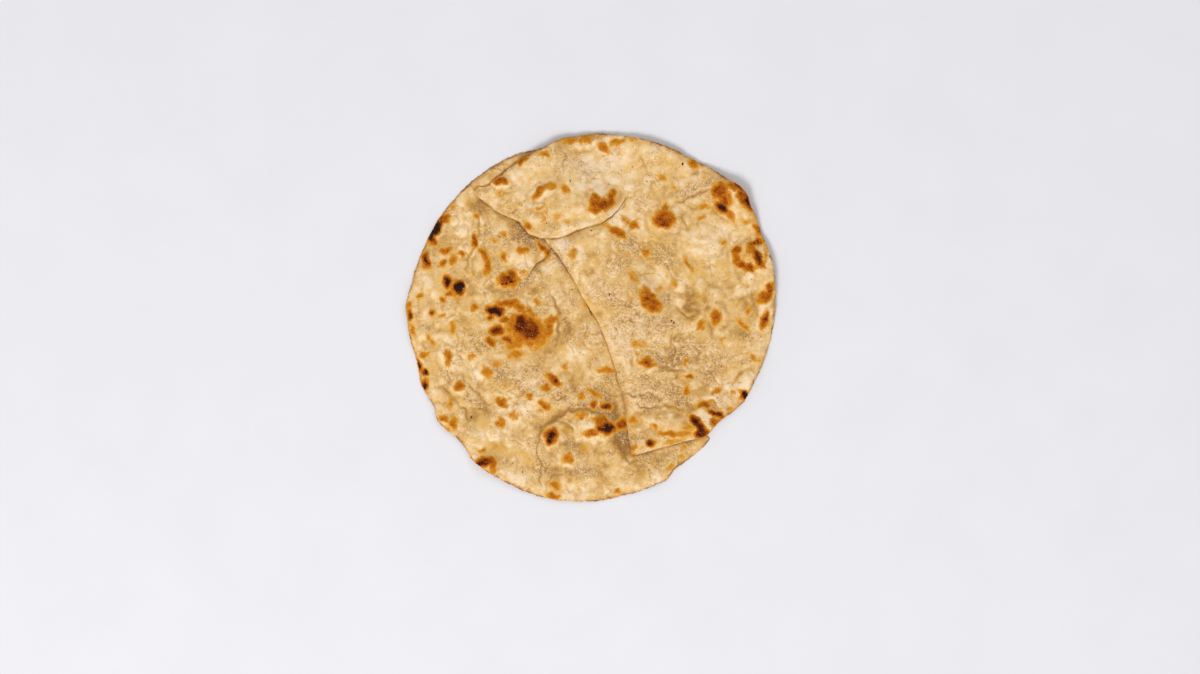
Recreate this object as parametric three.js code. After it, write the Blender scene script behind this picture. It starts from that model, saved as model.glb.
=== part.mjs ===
// A large chapati, cut across into two halves that lie one over the other and
// still make one round. Millimetres, +Z up, the table is the plane z = 0 and
// the middle of the round is at x = y = 0.
//
// Each half is one closed sheet. It is built from two patches that meet along
// a hinge line, because a short slit runs into each half from its cut edge and
// the dough on one side of the slit laps over the dough on the other side.

import * as THREE from 'three';
import { ConvexHull } from 'three/addons/math/ConvexHull.js';

// ---------------------------------------------------------------- sizes (mm)

const DOUGH = 2.6; // thickness of the rolled dough
const GAP = 0.3; // air between two layers that touch
const LAYER = DOUGH + GAP; // how far one layer lifts the next
const CELL = 5; // side of the triangles the sheets are made of
const SLIVER = 0.01; // square millimetres: thinner triangles are left out

const RIM_THINNING = 0.35; // share of the thickness lost at the outer rim
const RIM_BAND = 7; // width of the thinner rim
const DRAPE = 26; // run over which the upper half sinks to the table
const LAP_HOLD = 12; // width that stays fully lifted beside a slit
const LAP_FADE = 46; // distance from a slit where the lift has died away
const WAVE = 0.7; // height of the slow waves in the dough

const LOWER_TONE = 0xd3a469;
const UPPER_TONE = 0xdbae72;

// ------------------------------------------------------------------- helpers

const vec = (x, y) => new THREE.Vector2(x, y);
const vecs = (pairs) => pairs.map(([x, y]) => vec(x, y));
const smooth = THREE.MathUtils.smoothstep;

/** Points at about one cell's spacing along a smooth curve, its end left out. */
function along(points) {
  const curve = new THREE.SplineCurve(points);
  const steps = Math.max(1, Math.round(curve.getLength() / CELL));
  return curve.getSpacedPoints(steps).slice(0, -1);
}

/** Distance from a point to a chain of straight lines, closed on request. */
function distanceTo(point, chain, closed = false) {
  let best = Infinity;
  const count = closed ? chain.length : chain.length - 1;
  for (let i = 0; i < count; i += 1) {
    const a = chain[i];
    const run = chain[(i + 1) % chain.length].clone().sub(a);
    const t = point.clone().sub(a).dot(run) / run.lengthSq();
    const foot = a.clone().addScaledVector(run, THREE.MathUtils.clamp(t, 0, 1));
    best = Math.min(best, foot.distanceTo(point));
  }
  return best;
}

/** True where a point lies inside a closed outline. */
function isInside(point, outline) {
  let inside = false;
  outline.forEach((a, i) => {
    const b = outline[(i + 1) % outline.length];
    if (a.y > point.y !== b.y > point.y) {
      const x = a.x + ((point.y - a.y) / (b.y - a.y)) * (b.x - a.x);
      inside = point.x < x ? !inside : inside;
    }
  });
  return inside;
}

/** How far a point lies outside an outline, 0 when it is inside. */
function outside(point, outline) {
  return isInside(point, outline) ? 0 : distanceTo(point, outline, true);
}

/** Direction from one point to another in degrees, counted from `start` on. */
function bearing(from, to, start = 0) {
  const degrees = THREE.MathUtils.radToDeg(Math.atan2(to.y - from.y, to.x - from.x));
  return THREE.MathUtils.euclideanModulo(degrees - start, 360) + start;
}

// ----------------------------------------------------------------- outer rim

/** A round rim that swells and draws in: `swell` lists [degrees, millimetres]. */
class Rim {
  constructor(centre, radius, swell) {
    this.centre = centre;
    this.radius = radius;
    this.swell = swell;
  }

  /** Radius at a direction, eased from one listed swell to the next. */
  radiusAt(degrees) {
    const last = this.swell.length - 1;
    const next = this.swell.findIndex(([at]) => at > degrees);
    if (next === 0 || degrees < this.swell[0][0]) {
      return this.radius + this.swell[0][1];
    }
    if (next < 0) {
      return this.radius + this.swell[last][1];
    }
    const [fromAt, from] = this.swell[next - 1];
    const [toAt, to] = this.swell[next];
    return this.radius + from + (to - from) * smooth(degrees, fromAt, toAt);
  }

  /** The rim's point at a direction. */
  at(degrees) {
    const angle = THREE.MathUtils.degToRad(degrees);
    const spoke = vec(Math.cos(angle), Math.sin(angle));
    return spoke.multiplyScalar(this.radiusAt(degrees)).add(this.centre);
  }

  /** Evenly spaced points from one direction to another, the last left out. */
  arc(from, to) {
    const fine = Math.ceil(Math.abs(to - from));
    const points = [];
    for (let i = 0; i <= fine; i += 1) {
      points.push(this.at(from + ((to - from) * i) / fine));
    }
    return along(points);
  }

  /** How far inside the rim a point lies. */
  inset(point) {
    const first = this.swell[0][0];
    const degrees = bearing(this.centre, point, first);
    return this.radiusAt(degrees) - point.distanceTo(this.centre);
  }

  /** Lift of curled stretches, each [degrees, half width, height, reach]. */
  curl(point, stretches) {
    const first = this.swell[0][0];
    const degrees = bearing(this.centre, point, first);
    const inset = Math.max(0, this.inset(point));
    const lifts = stretches.map(([at, half, height, reach]) => {
      const share = 1 - smooth(Math.abs(degrees - at), 0, half);
      return height * share * (1 - smooth(inset, 0, reach));
    });
    return Math.max(0, ...lifts);
  }
}

const LOWER_RIM = new Rim(vec(-0.4, 1.8), 132, [
  [106, -5.6],
  [118, -3.3],
  [135, -2.4],
  [156, -1.8],
  [169, -0.8],
  [177, 1.7],
  [185, 0.2],
  [195, -1.9],
  [203, 0.5],
  [210, -0.6],
  [215, 2.6],
  [224, -0.5],
  [233, 3.8],
  [244, 3.9],
  [254, 4.8],
  [270, 3.4],
  [282, 1.2],
  [294, 0.2],
  [300, -4.8],
  [310, -5.4],
  [318, -7.5],
]);

const UPPER_RIM = new Rim(vec(18.6, 14.2), 117.5, [
  [-58, 2],
  [-50, -0.8],
  [-40, 1.8],
  [-28, -0.8],
  [-14, -1.4],
  [0, -2.1],
  [14, -1.1],
  [24, -2.1],
  [33, 0.4],
  [40, 3.8],
  [50, -0.3],
  [62, -2.5],
  [73, -1.6],
  [85, 0],
  [99, 2.9],
  [110, 4.5],
  [117, 3.3],
  [130, 4.4],
  [138, 6.1],
  [143, 10.4],
]);

/** Stretches where the lower half's rim leaves the table. */
const LOWER_CURLS = [
  [176, 22, 2.6, 20],
  [216, 16, 2.2, 16],
  [238, 20, 3.2, 22],
  [262, 18, 1.6, 14],
  [292, 16, 2.4, 18],
];

/** Stretches where the upper half's rim stands up. */
const UPPER_CURLS = [
  [-32, 26, 3.4, 22],
  [8, 26, 4.2, 24],
  [40, 22, 5.0, 26],
  [78, 28, 3.0, 20],
  [112, 24, 2.2, 18],
];

// -------------------------------------------------------- slits and outlines

const LOWER_HINGE_AT = 178; // degrees on the lower rim
const LOWER_SLIT = vecs([[-46.4, 28.8], [-42.7, 34.7], [-39.6, 39.5]]);
const LOWER_FLAP_EDGE = vecs([
  [-39.6, 39.5], [-33.9, 43.1], [-30.3, 49.3], [-20, 63.4], [-8.4, 78.5],
]);
const LOWER_TUCKED_EDGE = vecs([[-12.5, 84.5], [-23, 71], [-32, 58], [-37, 47], [-39.4, 39.3]]);
const LOWER_FLAP_CUT = vecs([[-8.4, 78.5], [-32.7, 119.4]]);
const LOWER_TUCKED_CUT = vecs([[83, -84], [80.4, -70.4], [24, 24.3], [-12.5, 84.5]]);

const UPPER_HINGE_AT = 75; // degrees on the upper rim
const UPPER_SLIT = vecs([[25.9, 87.2], [19.4, 77.6], [12.9, 71.7], [7.7, 68.3]]);
const UPPER_FLAP_EDGE = vecs([
  [7.7, 68.3], [-7.7, 64.2], [-16.8, 60.2], [-24.1, 58], [-36.1, 57.7],
]);
const UPPER_TUCKED_EDGE = vecs([
  [-38.4, 63.2], [-24, 68.5], [-10, 70.5], [0, 69.5], [7.9, 68.1],
]);
const UPPER_FLAP_CUT = vecs([
  [-36.1, 57.7], [-44.2, 60.8], [-48, 65.4], [-52.9, 70.2], [-66.1, 76.3], [-78.8, 85.8],
  [-84.4, 90.6], [-81, 95],
]);
const UPPER_TUCKED_CUT = vecs([
  [30.3, -100.4], [27, -79.8], [20.6, -46.4], [16.1, -30.2], [6.9, -5.5], [-3.3, 11.3],
  [-12, 27.4], [-20.4, 41.5], [-29.6, 52.9], [-38.4, 63.2],
]);
const UPPER_LOW_EDGE = vecs([[84, -86.4], [68.3, -89.8], [47.4, -95.6], [30.3, -100.4]]);

/** One side of a half: its outline and how far its slit edge is lifted. */
class Patch {
  constructor(outline, lift = () => 0) {
    this.outline = outline;
    this.lift = lift;
  }
}

/** Lift of the dough that laps over its neighbour at a slit, 0 to one layer. */
function lapLift({ slitEnd, edge, rise, full, none }) {
  return (point) => {
    const near = smooth(point.distanceTo(slitEnd), 0, rise);
    const turn = bearing(slitEnd, point);
    const share = full > none ? smooth(turn, none, full) : 1 - smooth(turn, full, none);
    const fade = 1 - smooth(distanceTo(point, edge), LAP_HOLD, LAP_FADE);
    return LAYER * near * share * fade;
  };
}

/** The far side of a shut slit, from its mouth back to just before its end. */
function facing(slit, mouth) {
  const across = vec(1, -1).setLength(GAP);
  return [...slit.slice(1), mouth].map((point) => point.clone().add(across)).reverse();
}

function lowerPatches() {
  const rimPoint = LOWER_RIM.at(LOWER_HINGE_AT);
  const slit = along(LOWER_SLIT);
  const hinge = along([slit[0], rimPoint]);
  const flap = [
    ...slit,
    ...along(LOWER_FLAP_EDGE),
    ...along(LOWER_FLAP_CUT),
    ...LOWER_RIM.arc(106, LOWER_HINGE_AT),
    rimPoint,
    ...hinge.slice(1).reverse(),
  ];
  const tucked = [
    slit[0],
    ...hinge.slice(1),
    rimPoint,
    ...LOWER_RIM.arc(LOWER_HINGE_AT, 314).slice(1),
    ...along(LOWER_TUCKED_CUT),
    ...along(LOWER_TUCKED_EDGE),
    ...facing(slit, LOWER_FLAP_EDGE[0]),
  ];
  const lift = lapLift({
    slitEnd: slit[0], edge: LOWER_FLAP_EDGE, rise: 12.5, full: 66, none: 140,
  });
  return [new Patch(flap, lift), new Patch(tucked)];
}

function upperPatches() {
  const rimPoint = UPPER_RIM.at(UPPER_HINGE_AT);
  const slit = along(UPPER_SLIT);
  const hinge = along([slit[0], rimPoint]);
  const flap = [
    ...slit,
    ...along(UPPER_FLAP_EDGE),
    ...along(UPPER_FLAP_CUT),
    ...UPPER_RIM.arc(140, UPPER_HINGE_AT),
    rimPoint,
    ...hinge.slice(1).reverse(),
  ];
  const tucked = [
    slit[0],
    ...hinge.slice(1),
    rimPoint,
    ...UPPER_RIM.arc(UPPER_HINGE_AT, -57).slice(1),
    ...along(UPPER_LOW_EDGE),
    ...along(UPPER_TUCKED_CUT),
    ...along(UPPER_TUCKED_EDGE),
    ...facing(slit, UPPER_FLAP_EDGE[0]),
  ];
  const lift = lapLift({
    slitEnd: slit[0], edge: UPPER_FLAP_EDGE, rise: 24, full: 190, none: 112,
  });
  return [new Patch(flap, lift), new Patch(tucked)];
}

// -------------------------------------------------------------------- relief

/** Baked blisters: [x, y, half length, half width, turn in degrees, height]. */
const LOWER_BLISTERS = [
  [-46, -3, 24, 22, 0, 2.6],
  [-61, 28, 12, 9, 15, 2.0],
  [-95, 22, 8, 8, 0, 2.4],
  [-80, 40, 10, 6, 70, 1.4],
  [-113, 64, 10, 8, 60, 1.8],
  [-119, 42, 7, 6, 70, 1.6],
  [-27, -86, 11, 11, 0, 2.6],
  [0, -81, 19, 12, 10, 3.0],
  [-16, -103, 14, 12, 0, 2.2],
  [-95, -50, 9, 9, 0, 1.6],
  [-76, -40, 10, 9, 40, 1.4],
  [-78, -84, 19, 14, 35, 1.6],
  [-76, -107, 11, 8, 20, 2.2],
  [-103, -29, 9, 13, 0, 1.4],
  [12, -36, 12, 8, 0, 1.2],
  [-40, -60, 13, 10, 30, 1.3],
];

const UPPER_BLISTERS = [
  [8, 86, 15, 10, 28, 1.8],
  [54, 71, 14, 12, 0, 2.4],
  [42, 13, 17, 13, -40, 2.2],
  [103, 85, 21, 14, -45, 3.2],
  [115, 46, 15, 11, 10, 2.8],
  [127, 8, 7, 11, 10, 2.0],
  [81, -75, 14, 11, 45, 3.2],
  [52, -76, 21, 8, -8, 2.2],
  [41, -33, 11, 9, 0, 2.0],
  [92, 1, 9, 10, 0, 1.4],
  [-34, 92, 14, 7, 30, 1.5],
  [-65, 98, 8, 6, 0, 1.4],
  [-7, 127, 16, 7, 8, 2.0],
  [112, -48, 12, 8, 50, 1.6],
  [80, 55, 18, 14, 0, 1.3],
];

/** Height of the tallest blister over a point. */
function blisterHeight(point, blisters) {
  return blisters.reduce((tallest, [x, y, length, width, turn, height]) => {
    const local = point.clone().sub(vec(x, y));
    local.rotateAround(vec(0, 0), -THREE.MathUtils.degToRad(turn));
    const reach = (local.x / length) ** 2 + (local.y / width) ** 2;
    return reach < 1 ? Math.max(tallest, height * (1 - reach) ** 2) : tallest;
  }, 0);
}

/** Slow waves, never below zero. */
function wave(point) {
  const swell = Math.sin(point.x / 17 + point.y / 31) * Math.cos(point.y / 19 - point.x / 43);
  return WAVE * (0.5 + 0.5 * swell);
}

/** Share of its full thickness that the dough keeps near its outer rim. */
function rimShare(point, rim) {
  return 1 - RIM_THINNING * (1 - smooth(rim.inset(point), 0, RIM_BAND));
}

// -------------------------------------------------------------------- sheets

/** Delaunay triangles of flat points: the lower hull of the raised points. */
function delaunay(points) {
  const raised = points.map((p) => new THREE.Vector3(p.x, p.y, p.lengthSq() / CELL));
  const order = new Map(raised.map((p, i) => [p, i]));
  const hull = new ConvexHull().setFromPoints(raised);
  const lower = hull.faces.filter((face) => face.normal.z < 0);
  return lower.map((face) => [2, 1, 0].map((i) => order.get(face.getEdge(i).head().point)));
}

/** Triangles of one patch: an even lattice inside, the outline's points around. */
function fillPatch(outline) {
  const box = new THREE.Box2().setFromPoints(outline);
  const inner = [];
  const row = (CELL * Math.sqrt(3)) / 2;
  for (let j = 0, y = box.min.y; y < box.max.y; j += 1, y += row) {
    for (let x = box.min.x + (j % 2) * 0.5 * CELL; x < box.max.x; x += CELL) {
      const point = vec(x, y);
      if (isInside(point, outline) && distanceTo(point, outline, true) > 0.6 * CELL) {
        inner.push(point);
      }
    }
  }
  const points = [...outline, ...inner];
  const triangles = delaunay(points).map((corners) => corners.map((i) => points[i]));
  return triangles.filter(([a, b, c]) => {
    const isFlat = b.clone().sub(a).cross(c.clone().sub(a)) < SLIVER;
    return !isFlat && isInside(a.clone().add(b).add(c).divideScalar(3), outline);
  });
}

/** Closed sheet over patches, with `under` and `over` giving its two heights. */
function sheetGeometry(patches, under, over) {
  const index = new Map();
  const flat = [];
  const triangles = [];
  patches.forEach((patch) => {
    fillPatch(patch.outline).forEach((corners) => {
      triangles.push(corners.map((point) => {
        if (!index.has(point)) {
          index.set(point, flat.length);
          flat.push({ point, patch });
        }
        return index.get(point);
      }));
    });
  });

  const count = flat.length;
  const bottoms = flat.map(({ point, patch }) => under(point, patch));
  const tops = flat.map(({ point, patch }, i) => bottoms[i] + over(point, patch));
  const positions = [
    ...flat.flatMap(({ point }, i) => [point.x, point.y, tops[i]]),
    ...flat.flatMap(({ point }, i) => [point.x, point.y, bottoms[i]]),
  ];

  const edges = new Set(triangles.flatMap(([a, b, c]) => [`${a},${b}`, `${b},${c}`, `${c},${a}`]));
  const faces = [];
  triangles.forEach(([a, b, c]) => {
    faces.push(a, b, c, c + count, b + count, a + count);
  });
  edges.forEach((edge) => {
    const [a, b] = edge.split(',').map(Number);
    if (!edges.has(`${b},${a}`)) {
      faces.push(a, a + count, b, b, a + count, b + count);
    }
  });

  const geometry = new THREE.BufferGeometry();
  geometry.setAttribute('position', new THREE.Float32BufferAttribute(positions, 3));
  geometry.setIndex(faces);
  geometry.computeVertexNormals();
  return geometry;
}

const lower = lowerPatches();
const upper = upperPatches();

/** How bare a lower point is: 0 under the upper half, 1 well clear of it. */
function bareLower(point) {
  const clear = Math.min(...upper.map((patch) => outside(point, patch.outline)));
  return smooth(clear, 3, 14);
}

/** Underside of the lower half: on the table, but for its rim and its flap. */
function lowerUnder(point, patch) {
  const raised = LOWER_RIM.curl(point, LOWER_CURLS) + Math.max(0, wave(point) - 0.35);
  return patch.lift(point) + bareLower(point) * raised;
}

/** Thickness of the lower half with its blisters. */
function lowerOver(point, patch) {
  const lapped = patch === lower[1] ? smooth(outside(point, lower[0].outline), 2, 9) : 1;
  const blister = bareLower(point) * lapped * blisterHeight(point, LOWER_BLISTERS);
  return DOUGH * rimShare(point, LOWER_RIM) + blister;
}

/** Underside of the upper half: over the lower half, then down to the table. */
function upperUnder(point, patch) {
  const clear = Math.min(...lower.map((side) => outside(point, side.outline)));
  const drape = 1 - smooth(clear, 2, DRAPE);
  const ridge = 1 - smooth(distanceTo(point, LOWER_FLAP_EDGE), LAP_HOLD, LAP_FADE + 4);
  const lowEdge = 1 - smooth(distanceTo(point, UPPER_LOW_EDGE), 0, 16);
  const curls = UPPER_RIM.curl(point, UPPER_CURLS) + 2.4 * lowEdge;
  return LAYER * (drape + ridge) + wave(point) + curls + patch.lift(point);
}

/** Thickness of the upper half with its blisters. */
function upperOver(point, patch) {
  const lapped = patch === upper[1] ? smooth(outside(point, upper[0].outline), 2, 9) : 1;
  const blister = lapped * blisterHeight(point, UPPER_BLISTERS);
  return DOUGH * rimShare(point, UPPER_RIM) + blister;
}

function half(name, patches, under, over, tone) {
  const material = new THREE.MeshStandardMaterial({ color: tone, roughness: 0.85, metalness: 0 });
  const mesh = new THREE.Mesh(sheetGeometry(patches, under, over), material);
  mesh.name = name;
  return mesh;
}

const chapati = new THREE.Group();
chapati.name = 'chapati';
chapati.add(half('lower_half', lower, lowerUnder, lowerOver, LOWER_TONE));
chapati.add(half('upper_half', upper, upperUnder, upperOver, UPPER_TONE));

export default chapati;
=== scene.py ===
"""Chapati cut across into two halves that lap over each other and make one round.

Both halves are closed sheets of thin dough. Their outlines, slits, laps, curls
and blisters follow the frame's solids, and the baked skin is added here: small
bubbles and wrinkles as relief, and toasting, char, mottling and painted shade
and light as attributes that one procedural finish reads.

Sizes are in millimetres up to the point where a mesh is made.
"""

import logging
import math
from dataclasses import dataclass, field
from enum import Enum
from functools import reduce

import bpy
import numpy as np
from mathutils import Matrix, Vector
from mathutils.geometry import delaunay_2d_cdt
from mathutils.kdtree import KDTree


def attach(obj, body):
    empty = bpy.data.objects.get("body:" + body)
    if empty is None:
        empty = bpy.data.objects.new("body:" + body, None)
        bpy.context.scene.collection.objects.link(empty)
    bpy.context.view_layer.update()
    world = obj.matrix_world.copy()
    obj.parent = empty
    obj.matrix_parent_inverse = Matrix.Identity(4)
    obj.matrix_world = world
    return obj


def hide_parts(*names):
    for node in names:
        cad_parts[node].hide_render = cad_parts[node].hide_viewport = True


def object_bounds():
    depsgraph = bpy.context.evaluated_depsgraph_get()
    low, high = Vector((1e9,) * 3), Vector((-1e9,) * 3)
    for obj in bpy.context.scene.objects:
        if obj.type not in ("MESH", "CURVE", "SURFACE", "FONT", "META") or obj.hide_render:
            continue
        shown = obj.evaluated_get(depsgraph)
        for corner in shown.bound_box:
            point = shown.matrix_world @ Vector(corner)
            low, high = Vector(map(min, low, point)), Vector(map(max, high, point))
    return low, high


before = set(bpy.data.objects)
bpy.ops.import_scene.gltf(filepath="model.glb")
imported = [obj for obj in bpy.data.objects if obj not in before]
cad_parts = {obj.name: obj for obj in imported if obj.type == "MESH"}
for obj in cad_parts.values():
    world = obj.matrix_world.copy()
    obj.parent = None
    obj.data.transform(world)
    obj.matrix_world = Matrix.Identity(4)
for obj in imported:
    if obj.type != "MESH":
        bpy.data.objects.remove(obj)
CAD_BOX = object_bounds()

log = logging.getLogger("chapati")

Array = np.ndarray
Pair = tuple[float, float]
Pairs = tuple[Pair, ...]
Rows = tuple[tuple[float, ...], ...]
Colour = tuple[int, int, int]
Stops = tuple[tuple[float, Colour], ...]
Feeds = dict[str | int, object]
Socket = bpy.types.NodeSocket

MM = 0.001

DOUGH = 2.6  # thickness of the rolled dough
GAP = 0.3  # air between two layers that touch
LAYER = DOUGH + GAP
TOP_STEP = 0.85  # spacing of the net on the shown side
UNDER_STEP = 1.7  # spacing of the net on the underside
WALL_ROWS = 4  # rows of faces up an edge
CLEARANCE = 0.62  # share of the spacing that a net keeps from its outline
OUTLINE_STEP = 0.2  # spacing of an outline's parts before they are walked evenly
TRACK_STEP = 0.5  # spacing of a line that distances are measured to
SHARP_ANGLE = 58.0  # degrees between two faces from which their edge stays sharp
REST_HEIGHT = 0.05  # air that keeps the underside from lying in the table

RIM_THINNING = 0.35  # share of the thickness lost at the outer rim
RIM_BAND = 7.0  # width of the thinner rim
ROUNDING = 0.16  # share of the thickness lost where an edge rounds off
ROUND_BAND = 1.8  # width of the rounding
CUT_TAPER = 0.6  # share of the thickness lost at a cut edge
CUT_BAND = 9.0  # width of the tapered cut edge
DRAPE = 26.0  # run over which the upper half sinks to the table
RIDGE_SPREAD = 4.0  # how much wider the upper half's ridge is than the lap below it
LOW_EDGE_CURL = 2.4  # height that the upper half's lowest edge curls up
LOW_EDGE_BAND = 16.0  # width of that curl
WAVE = 0.7  # height of the slow waves in the dough
WAVE_SHY = 14.0  # distance from the hidden cut over which the waves grow
TOAST_RISE = 0.35  # height that a deep brown spot stands up
DOME_POWER = 1.6  # how round a blister is: 1 a bowl turned over, 3 a soft hump
FOOT_WIDTH = 0.8  # half width of the line round a blister's foot
TOAST_FADE = 2.6  # distance outside a spot where its browning ends
STREWN_CHAR = 0.55  # share of a strewn spot that is char, where it has any
SMALL_BLISTERS = 260  # small blisters strewn over each half
FRECKLES = (120, (0.8, 2.6), (0.08, 0.3))  # number, half lengths and tones of the strewn freckles
UNDER_SPOTS = (150, (1.6, 9.0), (0.25, 0.85), 0.12)  # the same for the underside, and the charred share
UNDER_PATCHES = (60, (3.0, 9.0), (0.0, 0.9))  # the same for the underside's patches
CHAR_REACH = 6.0  # distance outside char from which it is out of reach
FOLD_REACH = 3.0  # distance from a fold line from which it is out of reach
EDGE_REACH = 9.0  # distance from the rim from which it is out of reach
FAR = 99.0  # distance that stands for out of reach


# ---- plane geometry ----


def smooth(value: Array | float, low: float, high: float) -> Array:
    """Share that eases from 0 at the low value to 1 at the high one."""
    share = np.clip((value - low) / (high - low), 0.0, 1.0)
    return share * share * (3.0 - 2.0 * share)


def spaced(path: Array, step: float) -> Array:
    """Walk a path evenly.

    Args:
        path: Points of the path, in order.
        step: Spacing aimed at.

    Returns:
        Evenly spaced points from the path's start, its end left out.
    """
    run = np.concatenate([[0.0], np.cumsum(np.hypot(*np.diff(path, axis=0).T))])
    count = max(1, round(run[-1] / step))
    at = np.arange(count) * run[-1] / count
    return np.column_stack([np.interp(at, run, path[:, axis]) for axis in (0, 1)])


def curve(points: Pairs, step: float) -> Array:
    """Walk a smooth curve through a few points.

    Args:
        points: Points that the curve passes, in order.
        step: Spacing aimed at.

    Returns:
        Evenly spaced points from the curve's start, its end left out.
    """
    held = np.array([points[0], *points, points[-1]], float)
    before, start, end, after = held[:-3], held[1:-2], held[2:-1], held[3:]
    share = np.linspace(0.0, 1.0, 24, endpoint=False)[:, None, None]
    leave, arrive = (end - before) / 2, (after - start) / 2
    bend = 2 * (start - end) + leave + arrive
    sway = 3 * (end - start) - 2 * leave - arrive
    fine = start + leave * share + sway * share**2 + bend * share**3
    path = fine.transpose(1, 0, 2).reshape(-1, 2)
    return spaced(np.vstack([path, held[-1]]), step)


def closest(points: Array, targets: Array) -> tuple[Array, Array]:
    """Find the target that lies nearest to each point.

    Args:
        points: Points to measure from.
        targets: Closely spaced points to measure to.

    Returns:
        Index of the nearest target, and the distance to it.
    """
    tree = KDTree(len(targets))
    for index, (x, y) in enumerate(targets):
        tree.insert((x, y, 0.0), index)
    tree.balance()
    hits = [tree.find((x, y, 0.0)) for x, y in points]
    return np.array([hit[1] for hit in hits], int), np.array([hit[2] for hit in hits])


def nearest(points: Array, targets: Array) -> Array:
    """Distance from each point to the nearest target."""
    return closest(points, targets)[1]


def inside(points: Array, outline: Array) -> Array:
    """Tell which points an outline holds.

    Args:
        points: Points to test.
        outline: Corners of a closed outline.

    Returns:
        True for each point inside.
    """
    held = np.zeros(len(points), bool)
    x, y = points.T
    for (ax, ay), (bx, by) in zip(outline, np.roll(outline, -1, axis=0)):
        if ay != by:
            crosses = (ay > y) != (by > y)
            held ^= crosses & (x < ax + (y - ay) / (by - ay) * (bx - ax))
    return held


def outside(points: Array, outline: Array) -> Array:
    """Distance from each point to an outline, 0 for the points inside it."""
    return np.where(inside(points, outline[::4]), 0.0, nearest(points, outline))


def lattice(outline: Array, step: float) -> Array:
    """Fill an outline with an even triangular lattice.

    Args:
        outline: Corners of a closed outline.
        step: Spacing of the lattice.

    Returns:
        Lattice points inside the outline and clear of it.
    """
    low, high = outline.min(0), outline.max(0)
    after = np.roll(outline, -1, axis=0)
    rows = []
    for row, y in enumerate(np.arange(low[1], high[1], step * math.sqrt(3) / 2)):
        crosses = (outline[:, 1] > y) != (after[:, 1] > y)
        a, b = outline[crosses], after[crosses]
        bounds = np.sort(a[:, 0] + (y - a[:, 1]) / (b[:, 1] - a[:, 1]) * (b[:, 0] - a[:, 0]))
        xs = np.arange(low[0] + (row % 2) * step / 2, high[0], step)
        held = [xs[(xs > left) & (xs < right)] for left, right in zip(bounds[::2], bounds[1::2])]
        rows.extend(np.column_stack([part, np.full(len(part), y)]) for part in held)
    points = np.concatenate(rows)
    return points[nearest(points, outline) > CLEARANCE * step]


# ---- forms in the dough ----


@dataclass(frozen=True)
class Curl:
    """A stretch of rim that leaves the table."""

    at: float  # direction in degrees
    half: float  # half width in degrees
    height: float
    reach: float  # how far in the lift dies away


@dataclass(frozen=True)
class Oval:
    """An oval on the dough, given by its middle, its half length and width and its turn."""

    x: float
    y: float
    length: float
    width: float
    turn: float  # degrees

    def near(self, points: Array, margin: float) -> Array:
        """Indices of the points that lie within a margin round the oval."""
        return np.flatnonzero(np.hypot(*(points - (self.x, self.y)).T) < self.length + margin)

    def local(self, points: Array) -> tuple[Array, Array]:
        """Measure points from the oval's middle.

        Args:
            points: Points to measure.

        Returns:
            Distance along the oval and distance across it.
        """
        angle = math.radians(self.turn)
        dx, dy = points[:, 0] - self.x, points[:, 1] - self.y
        return dx * math.cos(angle) + dy * math.sin(angle), dy * math.cos(angle) - dx * math.sin(angle)

    def reach(self, points: Array) -> Array:
        """Distance from the middle to each point, 1 on the oval."""
        along, across = self.local(points)
        return np.hypot(along / self.length, across / self.width)


@dataclass(frozen=True)
class Blister(Oval):
    """A low dome raised by steam."""

    height: float


@dataclass
class Swelling:
    """What a set of blisters does to each point of a skin."""

    height: Array
    crown: Array  # 1 on the domes, 0 beside them
    foot: Array  # 1 on the line round a dome's foot

    @classmethod
    def of(cls, blisters: tuple[Blister, ...], points: Array) -> "Swelling":
        """Raise the blisters under the points.

        Args:
            blisters: The blisters.
            points: Points of the skin.

        Returns:
            Their height, crowns and feet at each point.
        """
        height, crown, foot = np.zeros((3, len(points)))
        bent = wandering(points)
        for blister in blisters:
            near = blister.near(bent, 3.0)
            reach = blister.reach(bent[near])
            clear = min(1.0, blister.height)
            line = np.exp(-((((reach - 1.0) * blister.width) / FOOT_WIDTH) ** 2))
            dome = blister.height * np.clip(1.0 - reach**2, 0.0, 1.0) ** DOME_POWER
            height[near] = np.maximum(height[near], dome)
            crown[near] = np.maximum(crown[near], clear * (1.0 - smooth(reach, 0.45, 0.98)))
            foot[near] = np.maximum(foot[near], clear * line)
        return cls(height, crown, foot * (1.0 - crown))


@dataclass(frozen=True)
class Toast(Oval):
    """A browned spot, with char in its middle where `char` is above 0."""

    tone: float  # 0 faint gold, 1 deep brown
    char: float = 0.0  # share of the spot that is charred

    def depth(self, points: Array, share: float = 1.0) -> Array:
        """How far inside the spot each point lies.

        Args:
            points: Points to test.
            share: Size of the part of the spot that counts.

        Returns:
            One depth for each point, below zero outside.
        """
        along, across = self.local(points)
        length, width = self.length * share, self.width * share
        reach = np.hypot(along / length, across / width) + 1e-6
        slope = np.hypot(along / length**2, across / width**2) + 1e-6
        return np.minimum(reach / slope, width) * (1.0 - reach)


@dataclass(frozen=True)
class Zone(Oval):
    """A soft patch of dough that is paler, more worn or oilier, or less so where negative; some paler and
    darker patches are painted light and painted shade.
    """

    shade: float

    def weight(self, points: Array) -> Array:
        """Shade of the patch at each point, faded out past its edge."""
        return self.shade * (1.0 - smooth(self.reach(points), 0.35, 1.25))


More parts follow.
